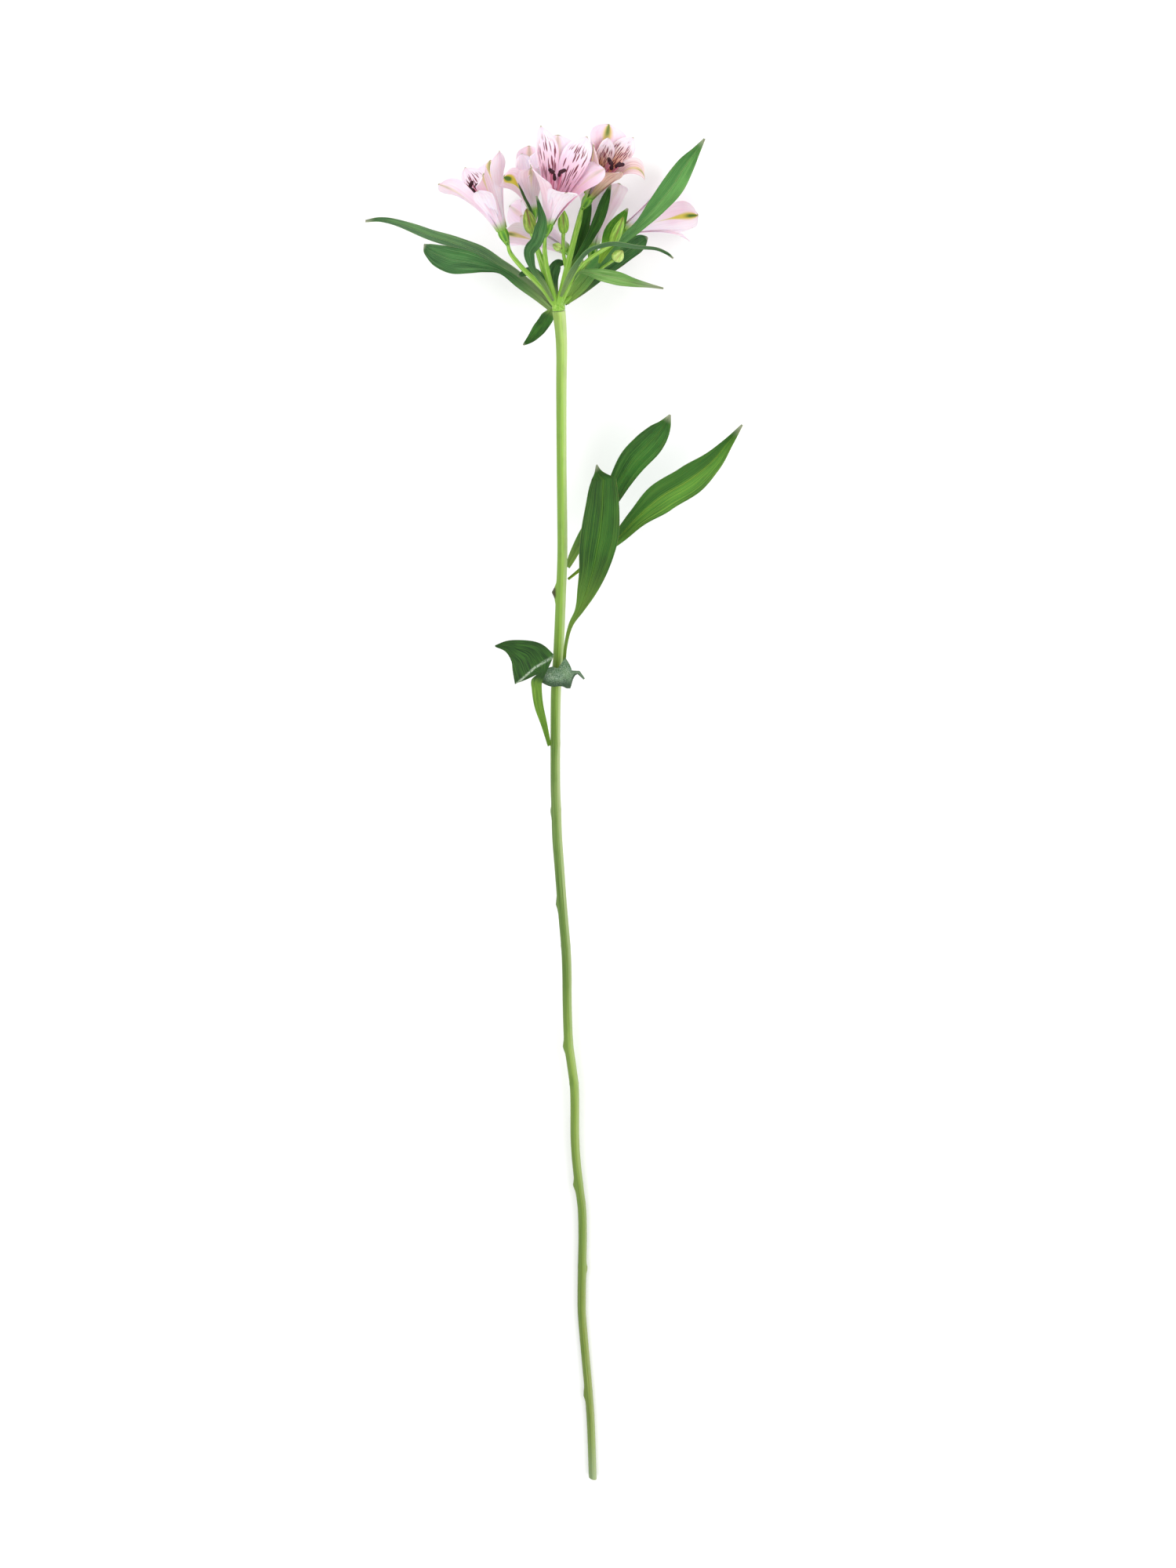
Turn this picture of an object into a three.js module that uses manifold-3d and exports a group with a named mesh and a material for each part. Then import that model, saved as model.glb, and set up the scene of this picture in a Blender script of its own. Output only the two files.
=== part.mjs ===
// A cut alstroemeria stem lying on a surface: millimetres, +Z up, stem along +Y, flowers at the far end.
//
// The plant is drawn in its own coordinates: X = 0, Y = 0 lies by the cut end, Z = 0 is the surface it
// lies on. The last lines shift the whole plant so that its origin is the middle of its underside.

import * as THREE from 'three';
import { mergeVertices } from 'three/addons/utils/BufferGeometryUtils.js';
import Module from 'manifold-3d';

const wasm = await Module();
wasm.setup();

// ---- Driving dimensions -------------------------------------------------------------------------

const GAP = 0.35;              // clearance between pieces that touch on the plant
const LEAF_THICKNESS = 0.7;
const PETAL_THICKNESS = 0.65;
const STEM_SIDES = 10;
const STEM_RINGS = 40;
const STALK_SIDES = 6;
const BUD_SIDES = 6;

const OUTER_PETAL_LENGTH = 43;
const INNER_PETAL_LENGTH = 42;
const OUTER_CLAW_RADIUS = 2.3; // from the bloom's axis to the root of an outer petal
const INNER_CLAW_RADIUS = 1.7;
const CUP_RADIUS = 2.5;          // the disc that joins the six claws
const CUP_SIDES = 8;
const CUP_DEPTH = 1.1;
const OVARY_LENGTH = 7.5;
const OVARY_RADIUS = 2.2;
const FILAMENT_LENGTH = 25;
const FILAMENT_RADIUS = 0.45;
const STAMEN_DISC_RADIUS = 0.9;
const ANTHER_LENGTH = 3.6;
const ANTHER_RADIUS = 0.8;
const ANTHER_SIDES = 3;

const COLOURS = {
  stem: [0x8fc24f, 0.5],
  stalk: [0x7fb03f, 0.5],
  leaf: [0x2f6b33, 0.45],
  petal: [0xf0cfe2, 0.55],
  stamen: [0x4a2030, 0.6],
  bud: [0x86b548, 0.5],
};

// ---- The stem: [x, y, z, radius] from the cut end to the umbel ----------------------------------

const stemPath = [
  [2.5, -0.6, 2, 2.1], [1.5, 31, 2, 2.1], [0.4, 49.7, 2, 2.1], [-1.4, 72.3, 2, 2.15],
  [-3.1, 94.8, 2.2, 2.15], [-3.3, 106.2, 2.3, 2.2], [-3.1, 123.3, 2.6, 2.2], [-2.8, 141.2, 3, 2.2],
  [-3.1, 157, 3.4, 2.2], [-4.3, 168.2, 3.8, 2.2], [-6, 185.2, 4.5, 2.2], [-6.7, 199.4, 5, 2.25],
  [-6.7, 218, 6, 2.25], [-7, 227.7, 6.5, 2.3], [-8.3, 238.8, 7, 2.3], [-9.8, 252.2, 8, 2.3],
  [-10.4, 273, 9.5, 2.3], [-10.5, 290.3, 11, 2.35], [-11, 303.9, 12, 2.35], [-12.7, 326.7, 14, 2.35],
  [-14, 346.9, 16, 2.4], [-15, 362.6, 17.5, 2.45], [-15.3, 375.8, 19, 2.4], [-15.7, 389.6, 20, 2.35],
  [-15.6, 414.6, 22.5, 2.35], [-15.2, 438.4, 25, 2.4], [-13.9, 458, 27, 2.45], [-12.7, 485, 30, 2.4],
  [-11.9, 507.7, 32, 2.35], [-12.1, 544.8, 35, 2.3], [-12.1, 580.9, 37, 2.4], [-11.9, 598.7, 38, 2.5],
  [-12.3, 609.2, 38, 2.7], [-13.1, 617.2, 38, 3],
];
const CUT_SLANT = 0.35;        // how far the cut end leans, per millimetre across

// Scars and nubs where leaves and side shoots sat: [y, direction round the stem in degrees (0 = +X,
// 90 = up), height]
const stemNubs = [
  [49.7, 160, 0.9], [123.3, 20, 0.7], [171.5, 170, 0.9], [227.7, 60, 0.4], [249.5, 170, 0.8],
  [303.9, 80, 0.6], [327.5, 175, 0.8], [375.8, 200, 0.6], [410, 85, 0.5], [486.5, 185, 2],
];
const NUB_SPREAD = 2.6;        // along the stem

// ---- Leaves: [x, y, z, half width, roll in degrees], from the root to the tip --------------------

const WIDE_LEAF = 3.1;         // leaves with a greater half width are bent more finely across

const leaves = {
  leaf_low_left: {
    wave: 0.2,
    path: [
      [-18.5, 410.4, 23, 0.9, 20], [-20.9, 420.9, 24.2, 1.5, 20], [-23.4, 431.6, 27, 2.2, 15],
      [-24.2, 440.5, 30, 2.4, 5], [-24, 445.1, 33, 2.6, 0], [-21.7, 449.8, 36.6, 2, 0],
      [-25.3, 452.7, 38.5, 11.6, 0], [-28.5, 458.6, 39.5, 9.2, 0], [-33.2, 461.2, 39.2, 5.6, 0],
      [-38, 463.1, 38.5, 2.6, 0], [-43.3, 462.7, 37, 0.4, 0],
    ],
  },
  leaf_low_curl: {
    wave: 0.2,
    path: [
      [-24.4, 450.5, 29.2, 0.5, 180], [-21.7, 447.9, 32, 3.2, 180], [-17.3, 447.1, 34.1, 4.8, 180],
      [-13.1, 446.7, 34.8, 4.6, 180], [-10.5, 448.9, 34.8, 7.4, 180], [-8.1, 446.8, 34.6, 5.4, 180],
      [-6.8, 448.9, 34, 1.5, 180], [-4.4, 449, 33.5, 0.9, 180], [-1.8, 445.8, 33, 0.4, 180],
    ],
  },
  leaf_mid_front: {
    wave: 0.5,
    path: [
      [-11.4, 450.6, 29.5, 0.8, 0], [-10.4, 462, 31.5, 0.8, 0], [-8, 472.1, 34, 1.1, 0],
      [-4.2, 479.3, 36, 2, 0], [-0.4, 490, 39, 4.6, 0], [2.2, 499.4, 41.5, 6.4, 0],
      [3.8, 508.1, 43, 8, 0], [5.4, 517.4, 44, 8.7, 0], [6.6, 530.1, 44, 7.7, 0],
      [7.1, 541.9, 43.5, 5.8, 0], [4.7, 544.2, 42, 2.3, 0], [3.9, 547.8, 38, 0.3, 0],
    ],
  },
  leaf_mid_right: {
    wave: 0.7,
    path: [
      [-9.4, 493, 30, 0.6, 0], [-3.3, 497.3, 27, 0.8, 0], [4.4, 503.6, 26, 1.6, 0], [14, 512, 27, 3, 0],
      [23, 522.5, 31, 4.6, 0], [34, 532.5, 34, 7.2, 0], [46, 540, 35, 7.2, 0], [56.5, 548.5, 34, 5, 0],
      [64, 557, 32, 2.4, 0], [70.5, 565, 30, 0.4, 0],
    ],
  },
  leaf_mid_back: {
    wave: 0.4,
    path: [
      [-10, 498.5, 27.6, 1.6, 30], [-6.2, 505.3, 24, 2.4, 30], [-1, 514, 21, 2.8, 20],
      [5, 521, 20, 3.2, 10], [10.2, 528.6, 20, 4, 5], [15.3, 538.4, 21, 5.2, 0],
      [20.6, 547.6, 24.5, 6.4, 0], [26.7, 554.5, 27, 6.6, 0], [31.8, 560.4, 28.5, 5.4, 0],
      [34.9, 564.2, 28, 3.2, 0], [37.6, 569, 26, 0.4, 0],
    ],
  },
  leaf_left_long: {
    wave: 0.3,
    path: [
      [-16, 619, 37, 1.5, 40], [-22, 624, 36, 3, 50], [-30, 631, 35, 3.5, 60],
      [-38.5, 636.5, 34, 4, 60], [-48.5, 642.5, 33, 4, 60], [-59.5, 646.5, 33, 4, 60],
      [-71.5, 650.5, 35, 4, 60], [-83, 655, 37, 3, 60], [-92, 657, 37, 1.5, 50],
      [-99, 656.5, 36, 0.5, 40],
    ],
  },
  leaf_left_broad: {
    wave: 0.3,
    path: [
      [-17, 618.5, 40, 1, 0], [-22.5, 623.5, 42, 1.5, 0], [-30.5, 630, 44, 2, 0],
      [-38, 635.5, 45, 1.5, 0], [-45.5, 638, 45, 3, 0], [-53, 639.5, 45, 5, 0],
      [-60.5, 640.5, 44, 6, -10], [-67, 642.5, 42, 5, -20], [-71, 644.5, 39, 3, -30],
      [-73, 646.5, 37, 0.5, -30],
    ],
  },
  leaf_left_down: {
    wave: 0.2,
    path: [
      [-16.2, 618, 34, 1, 0], [-18.5, 613.5, 30, 3, 0], [-21.5, 609, 27, 3, 0],
      [-25.5, 604, 25, 2, 0], [-29.5, 600.5, 24, 0.4, 0],
    ],
  },
  leaf_right_big: {
    wave: 0.4,
    path: [
      [-10, 621, 36, 1.5, 0], [-4, 628, 37, 3, 0], [2.5, 636, 38, 3.2, 10], [9, 643.5, 40, 3.6, 40],
      [15.5, 650, 43, 3.4, 50], [22.5, 656, 46, 3.2, 40], [29.5, 663.5, 48, 4.2, 20],
      [37, 672.5, 49, 5, 0], [42.5, 681, 48, 4, 0], [47, 687, 46, 2, 0], [51, 692.5, 44, 0.4, 0],
    ],
  },
  leaf_right_low: {
    wave: 0.2,
    path: [
      [-11, 623.5, 41, 0.5, 0], [-7.5, 630, 45, 0.5, 0], [-4, 635, 48, 0.6, 0], [0, 635.5, 49, 1.4, 0],
      [5.5, 634.5, 50, 2.6, 0], [12.5, 633, 50, 3, 0], [20, 631, 49, 2, 0], [27, 629.5, 47, 1, 0],
      [33.5, 628, 45, 0.4, 0],
    ],
  },
  leaf_right_arch: {
    wave: 0.1,
    path: [
      [-12, 624.5, 45, 0.6, 0], [-9, 632, 50, 1.4, 20], [-5, 640, 55, 2.4, 60],
      [-0.5, 645.5, 57, 2.6, 65], [5, 648, 58, 2.6, 65], [12, 649, 58, 2.6, 65],
      [20.5, 647.5, 57, 2.4, 65], [29.5, 646.5, 56, 1.6, 60], [34.5, 644.5, 55, 1, 50],
      [37.5, 642, 54, 0.4, 40],
    ],
  },
  leaf_back_right: {
    wave: 0.2,
    path: [
      [-10.5, 620, 33, 1, 0], [-2, 626.5, 32, 2, 0], [7, 634.5, 32, 3, 0], [15, 641.5, 34, 4, 0],
      [20.5, 645.5, 34.5, 4, 0], [24, 648, 34.5, 3, 0], [26.5, 649.5, 34, 0.5, 0],
    ],
  },
  leaf_center_front: {
    wave: 0.2,
    path: [
      [-15.5, 622.5, 44, 0.6, 0], [-19.5, 630.5, 52, 1.2, 20], [-24, 637.5, 58, 1.4, 30],
      [-25.5, 645, 61, 2.5, -20], [-22.5, 650, 63, 2.7, 10], [-21, 654.5, 63, 2.9, 20],
      [-20, 659.5, 65, 2, 10], [-21, 665, 66, 1, 0], [-22.3, 669.5, 66.5, 0.4, 0],
    ],
  },
  leaf_left_small: {
    wave: 0.2,
    path: [
      [-16.5, 622, 40, 1, 0], [-19.5, 628, 41, 1.6, 0], [-22.5, 633, 42, 2.4, 10],
      [-26.5, 635, 41, 2, 0], [-31.5, 632.5, 39, 0.4, 0],
    ],
  },
  leaf_center_back: {
    wave: 0.2,
    path: [
      [-14, 621, 30, 1, 0], [-15.5, 628.5, 27, 2, 0], [-15.5, 633.5, 25, 2.8, 0],
      [-13.5, 637, 24, 2, 0], [-10, 637, 23, 0.5, 0],
    ],
  },
  bract_left: {
    wave: 0,
    path: [
      [-23.8, 651.8, 41.2, 0.5, 60], [-25.2, 661.1, 46.2, 1.4, 70], [-28.1, 667.9, 51.7, 1.4, 70],
      [-30.5, 674, 55.2, 0.4, 70],
    ],
  },
  leaf_upper_center: {
    wave: 0.1,
    path: [
      [-12, 627.5, 38, 0.8, 0], [-7.7, 637.8, 37.5, 1.2, 0], [-4.5, 646.2, 36.5, 2.4, 0],
      [-2.6, 654.4, 35.8, 3.2, 0], [-0.9, 662, 35.4, 2.6, 0], [0.2, 667.3, 35.4, 1.2, 0],
      [0.6, 670.4, 35.4, 0.4, 0],
    ],
  },
  leaf_upper_right: {
    wave: 0.1,
    path: [
      [-10, 633, 42, 0.6, 0], [-4, 642, 41, 1.6, 30], [1, 650.3, 40, 2, 20], [5, 658.3, 39, 2.5, 0],
      [7.5, 665.5, 38, 2.1, 0], [10, 672.5, 36, 0.4, 0],
    ],
  },
  bract_right: {
    wave: 0.1,
    path: [
      [5, 639, 44, 0.6, 0], [8, 646, 46, 2.5, 0], [11, 652.5, 47.5, 4, 0], [14, 657.5, 48, 3, 0],
      [17.5, 663, 48, 0.4, 0],
    ],
  },
};

// ---- Blooms --------------------------------------------------------------------------------------
// root and mouth set the axis, and back is the side that the upper petals stand on. Each petal is
// [degrees round the axis from the back, lean from the axis at its tip, part of the full length, curl,
// twist, part of the full width], where curl is the further turn outwards of a tip that rolls back, and
// twist is how far the petal has turned about its own length at its tip. bundle is the stamens' lean:
// [direction in degrees from the back, how far they hang that way, part of the full length].

const blooms = {
  bloom_left: {
    size: 0.94,
    root: [-38.2, 654, 46.5], mouth: [-47.7, 678.1, 49.5], back: [0.26, 0.33, -0.91],
    stalk: [[-15.2, 620.5, 39.5, 1.4], [-20, 628, 45, 1.3], [-28.5, 636.5, 47, 1.1], [-34, 643, 46.5, 1]],
    outer: [[2, 50, 0.76], [127, 52, 0.83, 0, 34], [-150, 20, 0.84, 70, 50, 0.7]],
    inner: [[42, 44, 0.8], [-72, 24, 0.84, 0, -40], [190, 52, 0.62, 0, 0, 0.8]],
    bundle: [95, 6.2, 0.86],
  },
  bloom_center: {
    size: 1.12,
    root: [-17, 657.8, 56], mouth: [-10.7, 680.7, 66.7], back: [-0.19, 0.42, -0.89],
    stalk: [[-14.3, 621, 40, 1.3], [-17.5, 634, 46, 1.1], [-19, 643, 50, 1.1]],
    outer: [[1, 50, 0.75], [108, 47, 0.66], [-83, 58, 0.68]],
    inner: [[33, 40, 0.86], [-37, 46, 0.83], [175, 63, 0.65]],
    bundle: [80, 3, 0.82],
  },
  bloom_upper_right: {
    size: 0.86,
    root: [0.8, 667.9, 41.5], mouth: [9.4, 682.7, 49.8], back: [-0.08, 0.59, -0.8],
    stalk: [[-13, 621, 40.5, 1.5], [-9.5, 636, 46, 1.4], [-6.5, 648, 44, 1.3], [-4, 657, 41, 1.3]],
    outer: [[10, 44, 0.83, 0, 0, 1.45], [94, 28, 0.7], [-102, 27, 0.82, 110]],
    inner: [[16, 20, 0.72], [-37, 42, 0.85], [192, 34, 0.66, 0, 0, 0.9]],
    bundle: [-150, 2, 0.9],
  },
  bloom_center_back: {
    size: 0.78,
    root: [-24.5, 663.1, 41.5], mouth: [-25.7, 680, 48.6], back: [-0.04, 0.17, -0.99],
    stalk: [[-15, 620.5, 38.5, 1.2], [-20, 635.5, 41, 1.1], [-23.2, 647, 38, 1]],
    outer: [[-4, 34, 0.75], [134, 60, 0.74, 0, 75], [183, 29, 0.74]],
    inner: [[17, 27, 0.69], [-28, 28, 0.71], [-154, 30, 0.74]],
    bundle: [0, 0, 0.5],
  },
  bloom_low_left: {
    size: 0.84,
    root: [-10.1, 642.5, 12.4], mouth: [-24.8, 651.1, 13.8], back: [0.29, 0.67, -0.68],
    stalk: [[-14, 620, 36.8, 1.2], [-8.5, 627.5, 27, 1.1], [-3, 635, 22, 1.1]],
    outer: [[36, 37, 0.91], [198, 34, 0.87], [-74, 39, 0.72]],
    inner: [[8, 33, 0.83], [120, 36, 0.73], [-116, 31, 0.79]],
    bundle: [180, 1.5, 0.7],
  },
  bloom_right: {
    size: 0.9,
    root: [16.5, 652, 25.6], mouth: [33.5, 659.5, 18.4], back: [-0.55, 0.72, -0.42],
    stalk: [[-12.3, 620, 37.2, 1.3], [-4, 627, 34, 1.1], [4, 639, 30, 1.1]],
    outer: [[0, 34, 0.94], [138, 60, 0.86], [-120, 56, 0.92]],
    inner: [[60, 36, 0.9], [180, 36, 0.8], [-60, 36, 0.92]],
    bundle: [180, 1.5, 0.7],
  },
  bloom_low_center: {
    size: 0.86,
    root: [2.5, 645, 20], mouth: [6, 664.1, 19.8], back: [0.13, -0.03, -0.99],
    stalk: [[-13.2, 620.5, 36.8, 1.2], [-8, 629, 29, 1.1], [-3, 634, 24, 1.1]],
    outer: [[12, 49, 0.83], [154, 52, 0.84], [-147, 39, 0.86]],
    inner: [[34, 37, 0.87], [181, 39, 0.89], [-22, 37, 0.78]],
    bundle: [180, 1.5, 0.8],
  },
};

// Half width of an outer and an inner petal: [part of its length, millimetres]
const OUTER_OUTLINE = [
  [0, 1.6], [0.2, 2.6], [0.45, 5], [0.65, 7.1], [0.8, 7.9], [0.9, 6.8], [0.97, 3.6], [1, 0.6],
];
const INNER_OUTLINE = [
  [0, 1.1], [0.2, 1.8], [0.4, 3.6], [0.6, 5.6], [0.75, 6.2], [0.87, 5], [0.96, 2.4], [1, 0.4],
];
const PETAL_STEPS = [0, 0.25, 0.5, 0.72, 0.9, 1];
const PETAL_COLUMNS = 4;
const PETAL_BEND = 1.5;        // how late along its length a petal turns outwards
const CLAW_LEAN = 14;
const CURL_FROM = 0.6;         // the part of a petal's length after which its tip rolls back

// Stamens: [degrees round the axis from the back, spread from the axis at the anther, length factor]
const stamens = [
  [20, 2.6, 0.93], [80, 2, 1], [140, 3, 1.04], [-20, 1.4, 0.86], [-80, 2.6, 0.97], [-140, 3.4, 1.09],
];

// ---- Buds: the thin stalk that carries each one, its tip and its greatest radius -----------------

const buds = {
  bud_left: {
    stalk: [[-17.5, 634, 45, 0.9], [-21, 643, 48, 0.8], [-24, 650, 50, 0.8], [-25, 652.5, 50, 0.9]],
    tip: [-27, 663, 51], radius: 2.9,
  },
  bud_center: {
    stalk: [[-9.5, 636, 46, 0.9], [-10.8, 643, 46, 0.8], [-11, 650, 45, 0.8], [-10.8, 652, 45, 0.9]],
    tip: [-11.4, 663, 45.5], radius: 2.5,
  },
  bud_right: {
    stalk: [[-12.3, 621, 40.2, 1.1], [-6, 633.5, 46, 1], [0.5, 641, 48, 0.9], [10.2, 647.5, 51, 0.8]],
    tip: [15.5, 659.5, 52], radius: 2.4,
  },
  bud_small_left: {
    stalk: [[-10.8, 643, 46, 0.7], [-12, 645.2, 46.3, 0.6]],
    tip: [-15.6, 647.3, 46], radius: 1.9,
  },
  bud_small_right: {
    stalk: [[-4, 627, 34, 0.8], [2, 631.6, 35, 0.7], [6.3, 636.4, 39.5, 0.7], [11.5, 640.4, 44.8, 0.7]],
    tip: [15.3, 644.6, 46], radius: 2.7,
  },
  bud_dark: {
    stalk: [[-8, 629, 29, 0.9], [-4.5, 640, 29.8, 0.8], [-1.2, 646, 30.6, 0.8]],
    tip: [0.5, 655, 31.6], radius: 2.1,
  },
};
const BUD_OUTLINE = [[0, 0.5], [0.14, 0.85], [0.38, 1], [0.66, 0.84], [0.88, 0.45], [1, 0.14]];

// ---- Shared geometry -----------------------------------------------------------------------------

const { Vector3 } = THREE;
const UP = new Vector3(0, 0, 1);
const radians = THREE.MathUtils.degToRad;
const point = ([x, y, z]) => new Vector3(x, y, z);

// The row of numbers at t (0 to 1) along a list of rows, on one smooth curve through them all.
function along(rows, t) {
  const last = rows.length - 1;
  const i = Math.min(Math.floor(t * last), last - 1);
  const u = t * last - i;
  const before = i > 0 ? rows[i - 1] : rows[0].map((v, n) => 2 * v - rows[1][n]);
  const after = i + 2 <= last ? rows[i + 2] : rows[last].map((v, n) => 2 * v - rows[last - 1][n]);
  return rows[i].map((start, n) => {
    const end = rows[i + 1][n];
    const leaving = (end - before[n]) / 2;
    const arriving = (after[n] - start) / 2;
    const square = 3 * (end - start) - 2 * leaving - arriving;
    const cube = 2 * (start - end) + leaving + arriving;
    return start + u * (leaving + u * (square + u * cube));
  });
}

// The value at s in a list of [s, value], in straight steps.
function outlineAt(outline, s) {
  const i = Math.max(1, outline.findIndex(([at]) => at >= s));
  const [s0, v0] = outline[i - 1];
  const [s1, v1] = outline[i];
  return THREE.MathUtils.mapLinear(s, s0, s1, v0, v1);
}

function geometry(points, triangles) {
  const made = new THREE.BufferGeometry();
  const numbers = points.flatMap((p) => [p.x, p.y, p.z]);
  made.setAttribute('position', new THREE.Float32BufferAttribute(numbers, 3));
  made.setIndex(triangles);
  return made;
}

// A closed solid through rings of points, with a fan over each end.
function loft(rings) {
  const sides = rings[0].length;
  const points = rings.flat();
  const triangles = [];
  for (let i = 0; i + 1 < rings.length; i += 1) {
    for (let j = 0; j < sides; j += 1) {
      const a = i * sides + j;
      const b = i * sides + (j + 1) % sides;
      triangles.push(a, b, b + sides, a, b + sides, a + sides);
    }
  }
  const middle = (ring) => ring.reduce((sum, p) => sum.add(p), new Vector3()).divideScalar(sides);
  const foot = points.push(middle(rings[0])) - 1;
  const head = points.push(middle(rings.at(-1))) - 1;
  const top = (rings.length - 1) * sides;
  for (let j = 0; j < sides; j += 1) {
    const next = (j + 1) % sides;
    triangles.push(foot, next, j, head, top + j, top + next);
  }
  return geometry(points, triangles);
}

// A thin closed blade: two grids of points, face and back, split along the same diagonals.
function blade(face, back) {
  const rows = face.length - 1;
  const columns = face[0].length - 1;
  const points = [...face.flat(), ...back.flat()];
  const f = (i, j) => i * (columns + 1) + j;
  const b = (i, j) => f(rows + 1, 0) + f(i, j);
  const triangles = [];
  const square = (p, q, r, s) => triangles.push(p, q, r, p, r, s);
  for (let i = 0; i < rows; i += 1) {
    for (let j = 0; j < columns; j += 1) {
      square(f(i, j), f(i, j + 1), f(i + 1, j + 1), f(i + 1, j));
      triangles.push(b(i, j), b(i + 1, j + 1), b(i, j + 1), b(i, j), b(i + 1, j), b(i + 1, j + 1));
    }
    square(f(i, 0), f(i + 1, 0), b(i + 1, 0), b(i, 0));
    square(f(i, columns), b(i, columns), b(i + 1, columns), f(i + 1, columns));
  }
  for (let j = 0; j < columns; j += 1) {
    square(f(0, j), b(0, j), b(0, j + 1), f(0, j + 1));
    square(f(rows, j), f(rows, j + 1), b(rows, j + 1), b(rows, j));
  }
  return geometry(points, triangles);
}

// Lifts every pair of face and back points that reaches below the surface, so the blade lies flat on it.
function layOnSurface(face, back) {
  face.forEach((row, i) => row.forEach((p, j) => {
    const lowest = Math.min(p.z, back[i][j].z);
    if (lowest < 0) {
      p.z -= lowest;
      back[i][j].z -= lowest;
    }
  }));
}

// ---- Joins and cuts ------------------------------------------------------------------------------

function solid(made) {
  const bare = made.clone();
  bare.deleteAttribute('normal');
  bare.deleteAttribute('uv');
  const merged = mergeVertices(bare, 1e-4);
  const triVerts = new Uint32Array(merged.index.array);
  const vertProperties = new Float32Array(merged.attributes.position.array);
  return new wasm.Manifold(new wasm.Mesh({ numProp: 3, vertProperties, triVerts }));
}

function surface(made) {
  const mesh = made.getMesh();
  const result = new THREE.BufferGeometry();
  result.setAttribute('position', new THREE.BufferAttribute(mesh.vertProperties, 3));
  result.setIndex(new THREE.BufferAttribute(mesh.triVerts, 1));
  return result;
}

const joined = (pieces) => surface(pieces.map(solid).reduce((sum, piece) => sum.add(piece)));

// The largest piece that is left of a solid once the others are taken out of it.
function cutClear(made, others) {
  const left = others.reduce((rest, other) => rest.subtract(other), solid(made)).decompose();
  left.sort((a, b) => b.volume() - a.volume());
  return surface(left[0]);
}

// ---- Pieces --------------------------------------------------------------------------------------

// Rings round a path of [x, y, z, radius]; each ring's first point lies towards +X, then it goes upwards.
function tubeRings(path, count, sides, grow = 0) {
  const rings = [];
  for (let i = 0; i <= count; i += 1) {
    const t = i / count;
    const here = along(path, t);
    const step = 0.002;
    const ahead = point(along(path, Math.min(1, t + step)));
    const direction = ahead.sub(point(along(path, Math.max(0, t - step)))).normalize();
    const side = new Vector3().crossVectors(direction, UP).normalize();
    const top = new Vector3().crossVectors(side, direction);
    const ring = [];
    for (let j = 0; j < sides; j += 1) {
      const angle = 2 * Math.PI * (j + 0.5) / sides - Math.PI / 2;
      const radius = here[3] + grow;
      const spot = point(here).addScaledVector(side, radius * Math.cos(angle));
      ring.push(spot.addScaledVector(top, -radius * Math.sin(angle)));
    }
    rings.push(ring);
  }
  return rings;
}

function makeStem() {
  const rings = tubeRings(stemPath, STEM_RINGS, STEM_SIDES);
  for (const ring of rings) {
    const middle = ring.reduce((sum, p) => sum.add(p), new Vector3()).divideScalar(ring.length);
    for (const p of ring) {
      const outwards = p.clone().sub(middle).normalize();
      const turn = Math.atan2(outwards.z, outwards.x);
      for (const [y, degrees, height] of stemNubs) {
        const across = Math.max(0, Math.cos(turn - radians(degrees))) ** 4;
        const lengthwise = Math.exp(-(((middle.y - y) / NUB_SPREAD) ** 2));
        p.addScaledVector(outwards, height * across * lengthwise);
      }
      p.z = Math.max(p.z, 0);
    }
  }
  for (const p of rings[0]) {
    p.y -= CUT_SLANT * (p.x - stemPath[0][0]);
  }
  return loft(rings);
}

function makeLeaf({ path, wave }) {
  const rows = Math.max(7, path.length - 1);
  const columns = Math.max(...path.map((row) => row[3])) > WIDE_LEAF ? 4 : 2;
  const face = [];
  const back = [];
  for (let i = 0; i <= rows; i += 1) {
    const t = i / rows;
    const here = along(path, t);
    const step = 0.004;
    const ahead = point(along(path, Math.min(1, t + step)));
    const direction = ahead.sub(point(along(path, Math.max(0, t - step)))).normalize();
    const side = new Vector3().crossVectors(direction, UP).normalize();
    side.applyAxisAngle(direction, radians(here[4]));
    const up = new Vector3().crossVectors(side, direction);
    const half = Math.max(0.35, here[3]);
    const faceRow = [];
    const backRow = [];
    for (let j = 0; j <= columns; j += 1) {
      const v = 2 * j / columns - 1;
      const cup = 0.2 * half * Math.abs(v) ** 1.5;
      const ripple = wave * v * Math.abs(v) * Math.sin(2 * Math.PI * (2.2 * t + 0.15 * v));
      const spot = point(here).addScaledVector(side, half * v).addScaledVector(up, cup + ripple);
      faceRow.push(spot.clone().addScaledVector(up, LEAF_THICKNESS / 2));
      backRow.push(spot.clone().addScaledVector(up, -LEAF_THICKNESS / 2));
    }
    face.push(faceRow);
    back.push(backRow);
  }
  layOnSurface(face, back);
  return blade(face, back);
}

// A bloom's own directions: its axis, its back, and across them.
function bloomFrame({ root, mouth, back }) {
  const axis = point(mouth).sub(point(root)).normalize();
  const behind = point(back);
  behind.addScaledVector(axis, -behind.dot(axis)).normalize();
  const across = new Vector3().crossVectors(axis, behind);
  const outwards = (degrees) => behind.clone().multiplyScalar(Math.cos(radians(degrees)))
    .addScaledVector(across, Math.sin(radians(degrees)));
  return { root: point(root), axis, outwards };
}

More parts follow.
